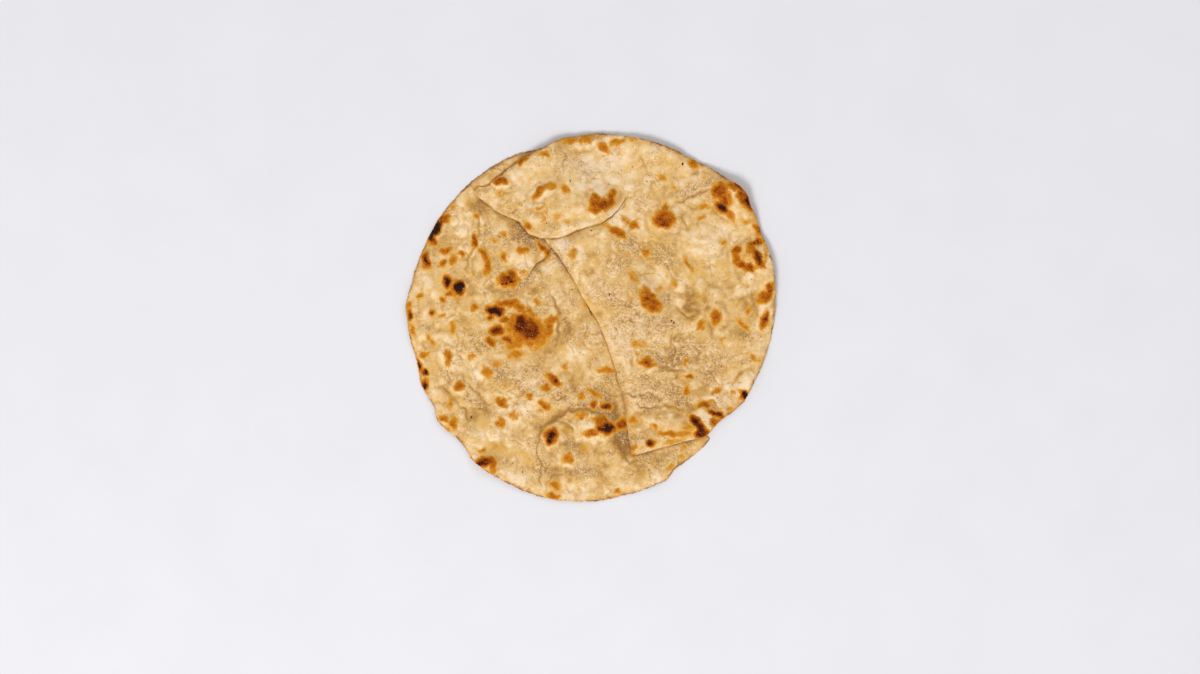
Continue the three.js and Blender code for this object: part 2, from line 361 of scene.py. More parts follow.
@dataclass(frozen=True)
class Crease:
    """A fold line set into the dough as a groove."""

    path: Pairs
    width: float
    depth: float

    def near(self, points: Array) -> Array:
        """Indices of the points that the crease can reach."""
        low, high = np.min(self.path, axis=0) - 6 * self.width, np.max(self.path, axis=0) + 6 * self.width
        return np.flatnonzero(np.all((points > low) & (points < high), axis=1))

    def form(self, points: Array) -> tuple[Array, Array, Array]:
        """Shape the fold: a groove, and the soft lip on its left.

        Args:
            points: Points near the crease.

        Returns:
            Depth of the groove and height of the lip, both tapered at the ends, and
            distance to the left of the fold line.
        """
        line = curve(self.path, TRACK_STEP)
        index, distance = closest(points, line)
        away, run = points - line[index], np.gradient(line, axis=0)[index]
        left = distance * np.sign(run[:, 0] * away[:, 1] - run[:, 1] * away[:, 0])
        ends = (line[0], np.array(self.path[-1]))
        tip = np.min([np.hypot(*(points - end).T) for end in ends], axis=0)
        taper = self.depth * (0.35 + 0.65 * smooth(tip, 0.0, 6.0))
        lip = np.exp(-(((left - 2.2 * self.width) / (1.7 * self.width)) ** 2))
        groove = np.exp(-((distance / self.width) ** 2))
        return groove * taper, lip * taper * smooth(tip, 0.0, 4.0), left


@dataclass(frozen=True)
class Rim:
    """A round rim that swells and draws in."""

    centre: Pair
    radius: float
    swell: Pairs  # direction in degrees and millimetres added to the radius
    curls: tuple[Curl, ...]

    def radius_at(self, degrees: Array) -> Array:
        """Radius at each direction, eased from one listed swell to the next.

        Args:
            degrees: Directions, as the swells count them.

        Returns:
            One radius for each direction.
        """
        knots, values = np.array(self.swell).T
        held = np.clip(degrees, knots[0], knots[-1])
        index = np.clip(np.searchsorted(knots, held, side="right") - 1, 0, len(knots) - 2)
        share = smooth((held - knots[index]) / (knots[index + 1] - knots[index]), 0.0, 1.0)
        return self.radius + values[index] + (values[index + 1] - values[index]) * share

    def bearing(self, points: Array) -> Array:
        """Direction of each point in degrees, counted from the first swell on."""
        degrees = np.degrees(np.arctan2(*(points - self.centre).T[::-1]))
        return (degrees - self.swell[0][0]) % 360 + self.swell[0][0]

    def arc(self, start: float, end: float, step: float) -> Array:
        """Walk the rim, with the fine nicks that hand rolling leaves.

        Args:
            start: First direction in degrees.
            end: Last direction in degrees.
            step: Spacing aimed at.

        Returns:
            Evenly spaced points, the last left out.
        """
        degrees = np.linspace(start, end, int(abs(end - start) * 6))
        ends = smooth(np.minimum(abs(degrees - start), abs(degrees - end)), 0.0, 6.0)
        nicks = 0.28 * np.sin(degrees * 1.9) * np.sin(degrees * 0.83 + 2.0)
        nicks += 0.16 * np.sin(degrees * 5.3 + 1.0)
        angle = np.radians(degrees)
        spokes = np.column_stack([np.cos(angle), np.sin(angle)])
        radius = self.radius_at(degrees) + nicks * ends
        return spaced(self.centre + spokes * radius[:, None], step)

    def inset(self, points: Array) -> Array:
        """How far inside the rim each point lies."""
        return self.radius_at(self.bearing(points)) - np.hypot(*(points - self.centre).T)

    def lift(self, points: Array) -> Array:
        """Curl the rim up in stretches.

        Args:
            points: Points of the half.

        Returns:
            Height that is added to each point.
        """
        degrees, inset = self.bearing(points), np.clip(self.inset(points), 0.0, None)
        lifts = [
            curl.height
            * (1.0 - smooth(abs(degrees - curl.at), 0.0, curl.half))
            * (1.0 - smooth(inset, 0.0, curl.reach))
            for curl in self.curls
        ]
        return np.max(lifts, axis=0)


@dataclass(frozen=True)
class Slit:
    """A short cut into a half, and the lap of the dough beside it."""

    path: Pairs  # from the slit's end to where the lap begins
    flap_edge: Pairs  # edge that lies on top, from there on
    tucked_edge: Pairs  # edge that lies below, back to there
    rise: float  # distance from the slit's end to the full lift
    full: float  # direction from the slit's end of the full lift
    none: float  # direction from the slit's end where the lift ends
    hold: float = 12.0  # distance from the lapped edge up to which the lift is whole
    fade: float = 46.0  # distance from the lapped edge where the lift has died away

    def facing(self, step: float) -> Array:
        """Far side of the shut slit, from its mouth back to just before its end."""
        points = np.vstack([curve(self.path, step)[1:], self.flap_edge[0]])
        return points[::-1] + np.array([1.0, -1.0]) * GAP / math.sqrt(2)

    def spread(self, points: Array, extra: float = 0.0) -> Array:
        """Share of the lift left at each point's distance from the lapped edge."""
        edge = np.vstack([curve(self.flap_edge, TRACK_STEP), self.flap_edge[-1]])
        return 1.0 - smooth(nearest(points, edge), self.hold, self.fade + extra)

    def lift(self, points: Array) -> Array:
        """Lift the dough that laps over the other side of the slit.

        Args:
            points: Points on the lapping side.

        Returns:
            Height of each point over its flat place.
        """
        dx, dy = (points - self.path[0]).T
        turn = np.degrees(np.arctan2(dy, dx)) % 360
        low, high = sorted((self.full, self.none))
        share = smooth(turn, low, high)
        share = share if self.full > self.none else 1.0 - share
        return LAYER * smooth(np.hypot(dx, dy), 0.0, self.rise) * share * self.spread(points)


# ---- what the bread shows ----

LOWER_RIM = Rim(
    centre=(-0.4, 1.8),
    radius=132.0,
    swell=(
        (106, -5.6), (118, -3.3), (135, -2.4), (156, -1.8), (169, -0.8), (177, 1.7),
        (185, 0.2), (195, -1.9), (203, 0.5), (210, -0.6), (215, 2.6), (224, -0.5),
        (233, 3.8), (244, 3.9), (254, 4.8), (270, 3.4), (282, 1.2), (294, 0.2),
        (300, -4.8), (310, -5.4), (318, -7.5),
    ),
    curls=(
        Curl(176, 22, 2.6, 20), Curl(216, 16, 2.2, 16), Curl(238, 20, 3.2, 22),
        Curl(262, 18, 1.6, 14), Curl(292, 16, 2.4, 18),
    ),
)

UPPER_RIM = Rim(
    centre=(18.6, 14.2),
    radius=117.5,
    swell=(
        (-58, 2), (-50, -0.8), (-40, 1.8), (-28, -0.8), (-14, -1.4), (0, -2.1),
        (14, -1.1), (24, -2.1), (33, 0.4), (40, 3.8), (50, -0.3), (62, -2.5),
        (73, -1.6), (85, 0), (99, 2.9), (110, 4.5), (117, 3.3), (130, 4.4),
        (138, 6.1), (143, 10.4),
    ),
    curls=(
        Curl(-32, 26, 3.4, 22), Curl(8, 26, 4.2, 24), Curl(40, 22, 5.0, 26),
        Curl(78, 28, 3.0, 20), Curl(112, 24, 2.2, 18),
    ),
)

LOWER_SLIT = Slit(
    path=((-46.4, 28.8), (-42.7, 34.7), (-39.6, 39.5)),
    flap_edge=((-39.6, 39.5), (-33.9, 43.1), (-30.3, 49.3), (-20, 63.4), (-8.4, 78.5)),
    tucked_edge=((-12.5, 84.5), (-23, 71), (-32, 58), (-37, 47), (-39.4, 39.3)),
    rise=12.5,
    full=66,
    none=140,
)
LOWER_FLAP_CUT = ((-8.4, 78.5), (-32.7, 119.4))
LOWER_TUCKED_CUT = ((83, -84), (80.4, -70.4), (24, 24.3), (-12.5, 84.5))
LOWER_HINGE_AT = 178.0
LOWER_ENDS = (106.0, 314.0)

UPPER_SLIT = Slit(
    path=((25.9, 87.2), (19.4, 77.6), (12.9, 71.7), (7.7, 68.3)),
    flap_edge=((7.7, 68.3), (-7.7, 64.2), (-16.8, 60.2), (-24.1, 58), (-36.1, 57.7)),
    tucked_edge=((-38.4, 63.2), (-24, 68.5), (-10, 70.5), (0, 69.5), (7.9, 68.1)),
    rise=24.0,
    full=190,
    none=112,
)
UPPER_FLAP_CUT = (
    (-36.1, 57.7), (-44.2, 60.8), (-48, 65.4), (-52.9, 70.2), (-66.1, 76.3), (-78.8, 85.8),
    (-84.4, 90.6), (-81, 95),
)
UPPER_TUCKED_CUT = (
    (30.3, -100.4), (27, -79.8), (20.6, -46.4), (16.1, -30.2), (6.9, -5.5), (-3.3, 11.3),
    (-12, 27.4), (-20.4, 41.5), (-29.6, 52.9), (-38.4, 63.2),
)
UPPER_LOW_EDGE = ((84, -86.4), (68.3, -89.8), (47.4, -95.6), (30.3, -100.4))
UPPER_HINGE_AT = 75.0
UPPER_ENDS = (140.0, -57.0)

LOWER_BLISTERS = (
    Blister(-46, -3, 24, 22, 0, 2.6), Blister(-61, 28, 12, 9, 15, 2.0),
    Blister(-95, 22, 8, 8, 0, 2.4), Blister(-80, 40, 10, 6, 70, 1.4),
    Blister(-113, 64, 10, 8, 60, 1.8), Blister(-119, 42, 7, 6, 70, 1.6),
    Blister(-27, -86, 11, 11, 0, 2.6), Blister(0, -81, 19, 12, 10, 3.0),
    Blister(-16, -103, 14, 12, 0, 2.2), Blister(-95, -50, 9, 9, 0, 1.6),
    Blister(-76, -40, 10, 9, 40, 1.4), Blister(-78, -84, 19, 14, 35, 1.6),
    Blister(-76, -107, 11, 8, 20, 2.2), Blister(-103, -29, 9, 13, 0, 1.4),
    Blister(12, -36, 12, 8, 0, 1.2), Blister(-40, -60, 13, 10, 30, 1.3),
    Blister(-11, -119, 22, 9, 0, 1.2),
)

UPPER_BLISTERS = (
    Blister(8, 86, 15, 10, 28, 0.8), Blister(54, 71, 14, 12, 0, 2.4),
    Blister(42, 13, 17, 13, -40, 2.2), Blister(103, 85, 21, 14, -45, 3.2),
    Blister(115, 46, 15, 11, 10, 2.8), Blister(127, 8, 7, 11, 10, 2.0),
    Blister(81, -75, 14, 11, 45, 3.2), Blister(52, -76, 21, 8, -8, 2.2),
    Blister(41, -33, 11, 9, 0, 2.0), Blister(92, 1, 9, 10, 0, 1.4),
    Blister(-34, 92, 14, 7, 30, 1.5), Blister(-65, 98, 8, 6, 0, 1.4),
    Blister(-7, 127, 16, 7, 8, 2.0), Blister(112, -48, 12, 8, 50, 1.6),
    Blister(80, 55, 18, 14, 0, 1.3),
)

# The marks below are listed in the pixels of a view from straight above. A toast
# holds x, y, half length, half width, turn, tone and, where there is any, the share
# that is char. A patch holds a shade in place of the tone: the dough is paler, more
# worn or oilier by it, or less so where it is negative. Many paler and darker patches
# are painted light and painted shade: darker under the laps, along the seam and round
# blisters, lighter on slopes that the relief leaves in shade. A crease holds its path,
# its width and its depth in millimetres, and a speck holds x, y and its size.

LOWER_TOASTS = (
    (434.5, 230.5, 12.5, 6.2, 64, 0.97, 0.9), (444, 219, 5.5, 5, 0, 0.7), (433, 241, 5, 4.5, 0, 0.65),
    (426.5, 260.5, 8, 4.5, 100, 0.86, 0.5), (447.5, 281.5, 6.4, 5, 90, 0.95, 0.62),
    (455.5, 290, 6, 5, 80, 0.54), (459.5, 287.5, 8, 5.8, 100, 1.0, 0.84), (449, 293.5, 2.6, 2.2, 0, 0.6),
    (443, 300, 2.2, 2, 0, 0.6), (420.5, 296, 2.8, 2.5, 0, 0.55), (443.5, 263, 3.2, 2.2, 80, 0.6),
    (453.5, 260, 5, 3.4, 60, 0.5), (446.5, 251, 4, 2, 15, 0.65), (462, 254, 2.3, 1.5, 0, 0.65),
    (474.5, 241.5, 4.7, 2.5, 80, 0.75), (503.5, 234.5, 3, 3, 0, 0.4), (494.5, 240, 4.2, 2.6, -20, 0.3),
    (484.3, 255.5, 5.8, 2.6, -62, 0.6), (488, 266, 7, 2.4, 78, 0.57), (524, 251, 5.2, 3, 0, 0.57),
    (503.5, 257.5, 4, 2.2, 110, 0.5), (544.5, 250.5, 6, 2, -52, 0.72), (508, 280.5, 12, 8.5, 8, 0.8),
    (511, 276, 7, 6, 60, 0.71), (509, 279.5, 6, 4.5, 0, 0.85), (524, 273, 3, 2, 0, 0.42),
    (537, 302, 3.6, 2, 0, 0.44), (508, 303.5, 10, 3.4, 4, 0.66), (520, 308, 8, 3.4, -45, 0.57),
    (532, 313, 6, 3, -50, 0.5), (495, 311, 9, 5, -12, 0.97, 0.7), (490.5, 318, 3.4, 3, 0, 0.66),
    (504.5, 319.5, 4.5, 3.6, 60, 0.6), (496.5, 330.5, 7.5, 5.6, 10, 0.86),
    (507.5, 339.5, 5.6, 3.2, -20, 0.78), (491, 342, 4.6, 2.4, -25, 0.72), (521.5, 324, 12, 8.5, 75, 0.97),
    (528, 329, 17, 13, -40, 0.86), (527, 330, 27, 18, -25, 0.5), (516, 344, 10, 4.5, 15, 0.5),
    (551, 320, 7.5, 4.2, 15, 0.55), (549, 330, 8, 4, 75, 0.55), (537, 346, 9, 4.4, 30, 0.36),
    (475, 308, 3, 2.8, 0, 0.6), (433, 312.5, 1.8, 1.6, 0, 0.7), (453, 327.5, 4.5, 2.2, 100, 0.5),
    (431.5, 340, 5.5, 2.4, 115, 0.45), (409, 306, 4, 3, 90, 0.5), (410.5, 315.5, 4, 2.4, 80, 0.8, 0.6),
    (413, 330, 5, 1.8, 120, 0.5), (442.5, 316, 3, 2, 30, 0.4), (454, 207, 3, 2.5, 60, 0.35),
    (477, 217, 2.4, 2, 0, 0.5), (468.5, 204, 2.4, 1.5, 10, 0.35), (473, 275, 2.6, 1.6, 70, 0.3),
    (448.5, 357.5, 8, 4, 95, 0.52), (424.5, 355, 4.5, 3.6, 30, 0.45),
    (425.5, 372.5, 3, 2.6, 90, 0.9, 0.85), (424.3, 386, 6, 3, 70, 0.85, 0.6),
    (419.5, 366, 4, 1.6, 110, 0.8, 0.4), (472, 356.5, 4, 2.5, -10, 0.4), (487, 371.5, 8, 5.6, -60, 0.48),
    (497, 364, 4.6, 3.5, 0, 0.3), (515.5, 354.5, 7.6, 3.5, 10, 0.5), (460, 386, 5, 5, 0, 0.62),
    (450, 403, 4, 2, 85, 0.4), (444.5, 418, 4.6, 2.8, -15, 0.6), (454, 424, 5.6, 4.4, 80, 0.55),
    (446.5, 430, 3, 2, -45, 0.5), (500.5, 422.5, 5.6, 4, -70, 0.48), (502, 402.5, 5.2, 3.4, -35, 0.6),
    (514.5, 415.5, 4.6, 3.8, 0, 0.4), (530, 396.5, 4, 3.2, 0, 0.5), (505.5, 384.5, 2.2, 2, 0, 0.3),
    (544.5, 405, 5.8, 3, -40, 0.6), (540, 411, 3, 2, -30, 0.3), (553, 379, 8.6, 3.4, -38, 0.68),
    (556, 381.5, 4, 2.4, -20, 0.84, 0.2), (545.5, 387.5, 5, 3.8, 10, 0.55), (565, 366, 3.8, 3.2, 60, 0.4),
    (606, 370, 8.2, 3.4, -5, 0.5), (581, 396, 3.4, 3, 60, 0.45), (595, 393.5, 6.4, 1.9, -38, 0.5),
    (593.5, 404, 3.2, 2.8, 60, 0.72), (606.5, 406.5, 4.4, 3.2, -20, 0.86, 0.4),
    (581, 415, 5.8, 2.5, 5, 0.45), (551.5, 435, 10, 8.2, 80, 0.82), (550.5, 436, 8, 4.6, 85, 1, 0.55),
    (606.5, 427.5, 10.5, 7, -5, 0.97, 0.42), (592, 432.5, 7.4, 3.2, 5, 0.66), (602, 421, 9, 5, -15, 0.62),
    (622, 424, 6, 5.2, 80, 0.72), (568, 458, 6.6, 6, 0, 0.5), (555, 485, 6.4, 3.3, -15, 0.5),
    (554, 496, 6, 3, -15, 0.55), (618, 491, 2.3, 2, 0, 0.5), (485.5, 461.5, 10.5, 5.4, 10, 0.85),
    (482.5, 462.5, 7.5, 2.7, 8, 0.96, 0.55), (494, 465, 6, 3.4, 80, 0.6), (482, 450.5, 2.6, 1.8, 0, 0.5),
    (670, 467, 3.6, 2.4, 50, 0.42), (681, 456, 3, 2.4, 30, 0.35), (683, 447.5, 2.6, 2, 0, 0.4),
    # The thin charred mark at 591, 310.5 is painted shadow where the upper half's cut edge meets the lower
    # half.
    (584, 448, 2.4, 1.6, 0, 0.4), (591, 310.5, 9, 1.0, -60, 0.3, 0.9),
    (410.5, 338, 9, 1.3, 101, 0.4, 0.9), (416, 359, 8, 1.3, 108, 0.4, 0.9),
)

UPPER_TOASTS = (
    (501, 182, 5.4, 2.6, 0, 0.78), (501, 194.5, 6, 4, 50, 0.3), (540.5, 192.5, 8, 2.8, 48, 0.6),
    (551, 187, 8, 3, 6, 0.45), (566, 191, 5.6, 3, -62, 0.45), (597, 207, 8.6, 8, 0, 0.64),
    (608, 204.5, 9, 6.2, 48, 0.66), (595.5, 200.5, 6.5, 5, -70, 0.6), (594.5, 211, 7, 4.4, 0, 0.62),
    (733, 186.5, 7.5, 4, -25, 0.46), (742.5, 199.5, 9, 5.6, -65, 0.58), (727, 199, 9, 4.4, -72, 0.5),
    (749, 249.5, 5.5, 3.6, 10, 0.5), (604.5, 205.5, 9.5, 7, 25, 0.72), (611.5, 197.5, 8, 4.6, 75, 0.62),
    (602.5, 205, 6, 3.2, 30, 0.82), (626, 221, 5.6, 2.5, -45, 0.34), (634, 225.5, 5, 4.8, 0, 0.55),
    (611, 229, 9, 2.3, -28, 0.34), (618, 233, 8, 4, -32, 0.66), (573.5, 254.5, 5, 3.4, 60, 0.42),
    (540.5, 209.5, 5, 1.8, 42, 0.35), (545, 217.5, 6, 2.2, 78, 0.3), (558, 217, 4.6, 2.8, 40, 0.3),
    (566, 222, 4, 2.6, -50, 0.25), (529, 227, 4.6, 2.4, -40, 0.55), (545.5, 154.5, 5, 2.9, 0, 0.5),
    (523, 161.5, 3.8, 2.6, 30, 0.74), (572, 142, 10, 4.6, 8, 0.42), (586, 140.5, 9, 5, 5, 0.44),
    (604, 148.5, 7.6, 3.7, -42, 0.53), (617, 143, 7, 3, 12, 0.5), (632, 140, 4, 1.8, -10, 0.4),
    (663.5, 220, 14, 10.4, 0, 0.7), (664.5, 209, 5, 3.6, 90, 0.5), (662.5, 224, 8, 3.2, -5, 0.75),
    (662.5, 178.5, 5.2, 3.8, -40, 0.4), (674, 187.5, 3.8, 2, 0, 0.3), (693, 164, 5.8, 4, -20, 0.55),
    (719, 191.5, 10, 8.5, 65, 0.75), (723, 203, 9.5, 6, 100, 0.7), (721, 208, 6.2, 4.1, -42, 1, 0.68),
    (729.5, 215, 7, 2.8, -52, 0.5), (731, 187.5, 7, 3.4, -20, 0.6), (742.5, 200, 12, 6, -65, 0.72),
    (747.5, 203.5, 9, 3.6, -62, 0.87, 0.35), (739, 187, 5, 2.2, -40, 0.84), (746, 222, 4.6, 3.4, 0, 0.35),
    (757, 230, 6, 2.6, -70, 0.62), (748, 256, 15, 11, 0, 0.26), (736.5, 250.5, 4.4, 3, 55, 0.7),
    (735.8, 258, 5.6, 2.6, 95, 0.62), (741, 265, 5.4, 2.8, -45, 0.7), (748.5, 267.5, 4.6, 2.8, -35, 0.74),
    (755.5, 242.5, 7, 2.2, 18, 0.73), (757, 258, 8.6, 2.6, -64, 0.88, 0.4),
    (764.5, 256, 8, 2.3, 85, 0.36), (756.5, 267.5, 4, 2.2, 10, 0.46), (724, 243, 2.2, 2, 0, 0.45),
    (701, 217.5, 3, 2, 0, 0.4), (704, 207, 5, 2.8, 0, 0.46), (687.5, 264, 7, 1.9, -62, 0.45),
    (646, 253.5, 4.4, 3.8, -20, 0.5), (645.5, 294, 8.5, 6, -70, 0.55), (645.5, 302, 8, 5.5, -70, 0.6),
    (651.5, 297, 5, 4, -40, 0.58), (652, 305.5, 10.4, 8, -15, 0.62), (650, 300.5, 8, 2.6, -30, 0.76),
    (633.5, 277, 7.4, 2.7, -58, 0.4), (658.5, 289, 2.8, 2.2, 0, 0.35), (674.5, 284, 2.6, 1.8, 80, 0.4),
    (715.5, 318, 8.4, 5.6, 85, 0.66), (701, 325, 5, 3, 60, 0.45), (743, 325, 5.6, 1.9, -50, 0.45),
    (748.5, 311, 4, 1.8, 80, 0.45), (764, 319.5, 9, 3.4, 78, 0.66), (764.5, 318, 6, 2.4, 78, 0.9, 0.4),
    (764.5, 297, 9.5, 6.5, 50, 0.62), (769, 289, 5.5, 3.5, 60, 0.72), (753, 357.5, 6.2, 2, -40, 0.4),
    (744, 395.5, 4.6, 4, 0, 1, 0.8), (740, 390.5, 2.6, 2.2, 0, 0.5), (716.5, 390.5, 4.2, 2.2, 40, 0.5),
    (686.5, 390.5, 4.2, 2.6, 80, 0.55), (688.5, 377, 3, 2, 0, 0.64), (685.5, 361, 3.6, 2.4, 60, 0.48),
    (646.5, 362, 7.4, 6.4, 0, 0.55), (647, 363.5, 5.5, 1.6, -8, 0.85), (638, 344, 8.2, 4, -5, 0.35),
    (702.5, 404.5, 5, 2.5, 10, 0.66), (709, 404, 5, 2, 0, 0.24), (715, 413.5, 6.5, 1.8, -20, 0.9, 0.35),
    (713.5, 421.5, 4.2, 2.5, 10, 0.6), (695, 420.5, 5.2, 3.2, -45, 0.95, 0.45),
    (700, 427.5, 6.4, 3.8, -60, 0.98, 0.4), (700.5, 433, 6.4, 4, 8, 0.9, 0.2),
    (689, 427, 6, 3.2, 0, 0.42), (670, 433.5, 7.4, 2, 0, 0.55), (682, 433.5, 8.4, 2.2, 5, 0.4),
    (674, 440, 9, 2.6, 12, 0.38), (650.5, 442.5, 4.4, 4, 0, 0.9, 0.2), (632.5, 420, 4.5, 4.3, 0, 0.5),
    (655, 426, 2.6, 2.3, 0, 0.52), (634, 448, 2.6, 2.2, 50, 0.5), (639, 447.5, 4.2, 2.2, 30, 0.3),
    (633, 454, 1.6, 1.3, 0, 0.7), (729, 409, 3.2, 2, 0, 0.4), (732.5, 392, 2, 1.7, 0, 0.45),
)

LOWER_CREASES = (
    (((480, 212), (479, 227), (477, 245), (470, 255), (466, 270)), 1.4, 0.6),
    (((493, 276), (486, 281), (483, 287)), 1.1, 0.35),
    (((480, 289), (488, 295)), 1, 0.4),
    (((470, 286), (467, 291)), 1.2, 0.5),
    (((556, 345), (559, 328), (557, 306), (549, 293)), 1.5, 0.65),
    (((460, 371), (470, 386), (480, 395), (487, 404)), 2, 0.5),
    (((468, 422), (465, 410), (454, 399), (442, 386)), 2.6, 0.5),
    (((504, 394), (516, 388)), 1.1, 0.4),
    (
        ((610, 420), (600, 413), (588, 410), (574, 410), (562, 413), (553, 420), (545, 426), (541, 436)),
        1.8, 0.7,
    ),
    (((560, 421), (570, 426), (573, 433)), 1.3, 0.75),
    (((631, 466), (627, 460), (622, 448), (617, 434), (612, 424)), 1.8, 0.4),
    (((543, 424), (540, 436), (537, 450), (541, 462), (540, 476), (543, 489)), 1.2, 0.35),
    (((519, 404), (521, 416), (526, 424), (522, 438)), 1.1, 0.3),
    (((545, 492), (547, 482), (553, 475), (563, 474), (573, 480)), 1.1, 0.35),
    (((520, 366), (519, 378), (515, 388)), 1.1, 0.25),
    (((552, 392), (557, 399), (566, 396), (574, 398)), 1.2, 0.35),
    (((500, 428), (508, 437), (518, 442), (527, 450)), 1.2, 0.25),
    (((566, 340), (572, 350), (578, 358)), 1, 0.3),
    (((578, 338), (586, 346), (594, 352)), 1, 0.3),
)

UPPER_CREASES = (
    (((601.5, 223), (611, 217.5), (620, 210), (625, 202.5), (625.6, 197)), 0.9, 0.5),
    (((592, 226), (602, 223.5)), 0.8, 0.3),
    (((626, 240), (637, 250)), 1.1, 0.35),
    (((675, 304), (679, 311), (685, 315.5), (694, 316), (699, 311)), 1.6, 0.5),
    (((699, 311), (707.5, 307.5), (715, 306)), 1.4, 0.3),
    (((697, 306), (698, 312)), 0.9, 0.4),
    (((677, 203), (695, 196), (714, 188)), 2, 0.65),
    (((700, 401.5), (709, 400.5), (715, 402.5), (720, 409)), 1.4, 0.8),
    (((664, 360), (669, 369), (683, 371)), 1.6, 0.6),
    (((733, 384), (738, 377), (741, 370)), 1.4, 0.65),
    (((562, 166), (565, 180)), 1.4, 0.3),
    (((510, 217), (520, 210)), 1.6, 0.4),
    (((640, 398), (650, 396), (660, 399)), 1.2, 0.3),
    (((690, 345), (700, 352), (696, 360)), 1.6, 0.55),
    (((620, 390), (635, 396), (648, 393), (662, 400)), 1.5, 0.5),
    (((634, 402), (650, 408), (668, 405), (684, 412)), 1.7, 0.5),
    (((670, 378), (676, 386), (686, 388)), 1.5, 0.4),
    (((560, 150), (566, 158), (562, 166)), 1.5, 0.35),
    (((575, 158), (584, 163), (592, 160)), 1.4, 0.35),
    (((625, 269), (636, 283)), 1.2, 0.4),
    (((684, 213), (683, 222), (690, 229)), 1.4, 0.3),
    (((622, 376), (632, 381), (640, 388)), 1.2, 0.3),
    (((671, 342), (676, 350), (671, 358)), 1.3, 0.45),
    (((643, 262), (655, 257), (666, 266), (672, 277), (686, 284)), 1.1, 0.3),
    (((700, 366), (710, 372), (716, 382), (727, 384)), 1.1, 0.3),
    (((630, 238), (640, 243), (652, 241), (664, 245)), 1.1, 0.25),
)

# The lower half's own paler and darker tone, with painted shade under the flap's edge, along the seam and
# round blisters, and painted light on slopes that the relief shades.
LOWER_TONE_AND_PAINTED_SHADING = (
    (430, 285, 14, 26, 80, 0.5), (468, 368, 26, 14, 0, 0.4), (490, 440, 20, 12, 10, 0.55),
    (490, 460, 20, 10, -10, 0.6), (537, 384, 18, 12, 0, 0.8), (535, 407, 20, 12, 0, 0.3),
    (579, 428, 13, 8, 0, -0.2), (602, 446, 14, 6, 0, 0.4), (530, 482, 22, 14, -8, 0.6),
    (612, 486, 12, 10, 0, 0.35), (515, 263, 18, 6, 0, 0.35), (549, 297, 9, 9, 60, 0.4),
    (485, 375, 14, 10, 0, 0.3), (576, 355, 16, 11, 0, 0.9), (552, 268, 12, 12, 0, 0.7),
    (505, 412, 28, 10, -38, 0.7), (466, 418, 12, 9, 0, 0.3), (444, 386, 16, 18, 0, 0.3),
    (545, 456, 12, 9, 0, 0.4), (420, 262, 8, 20, 0, 0.2), (640, 482, 28, 9, 15, 0.15),
    (477, 206, 14, 10, -30, -0.9), (522, 234, 30, 11, -28, -0.75), (498, 227, 14, 8, 0, 0.5),
    (535, 288, 26, 7, -5, -0.4), (482, 291, 26, 7, 0, -0.3), (478, 412, 14, 10, 20, -0.45),
    (538, 464, 22, 14, 0, -0.4), (564, 476, 24, 9, 0, -0.75), (637, 474, 14, 10, 0, -0.7),
    (640, 462, 14, 7, 12, -0.5), (672, 462, 16, 8, 20, 0.15), (621, 436, 24, 8, -80, -1.7),
    (610, 408, 13, 8, -79, -0.6), (614, 446, 13, 9, -60, -0.8), (580, 450, 22, 9, 0, -0.4),
    (545, 428, 14, 10, 40, -0.5), (580, 408, 22, 6, 0, -0.5), (604, 404, 16, 22, 0, -0.7),
    (510, 385, 22, 12, 0, -0.2), (510, 360, 40, 20, 0, 0.1), (427, 317, 6, 10, 0, 0.9),
    (424, 372, 6, 12, 15, 0.6), (557, 416, 10, 8, 20, -0.9), (563, 325, 10, 22, 10, -0.4),
    (545, 262, 10, 7, 0, -0.4), (548, 354, 14, 8, 30, -0.4), (540, 333, 9, 8, 0, 0.9),
    (482, 348, 10, 7, 0, -0.5), (591, 476, 8, 8, 0, -0.5), (601, 449, 9, 7, 0, -0.6),
    (545, 412, 10, 8, 0, 0.7), (504, 422, 12, 8, 0, 0.4), (572, 400, 10, 9, 0, 0.5),
    (612, 474, 10, 8, 0, 0.5), (476, 196, 8, 6, -30, 0.9), (500, 444, 24, 7, 10, -0.3),
    (500, 230, 22, 8, 0, 0.3),
)
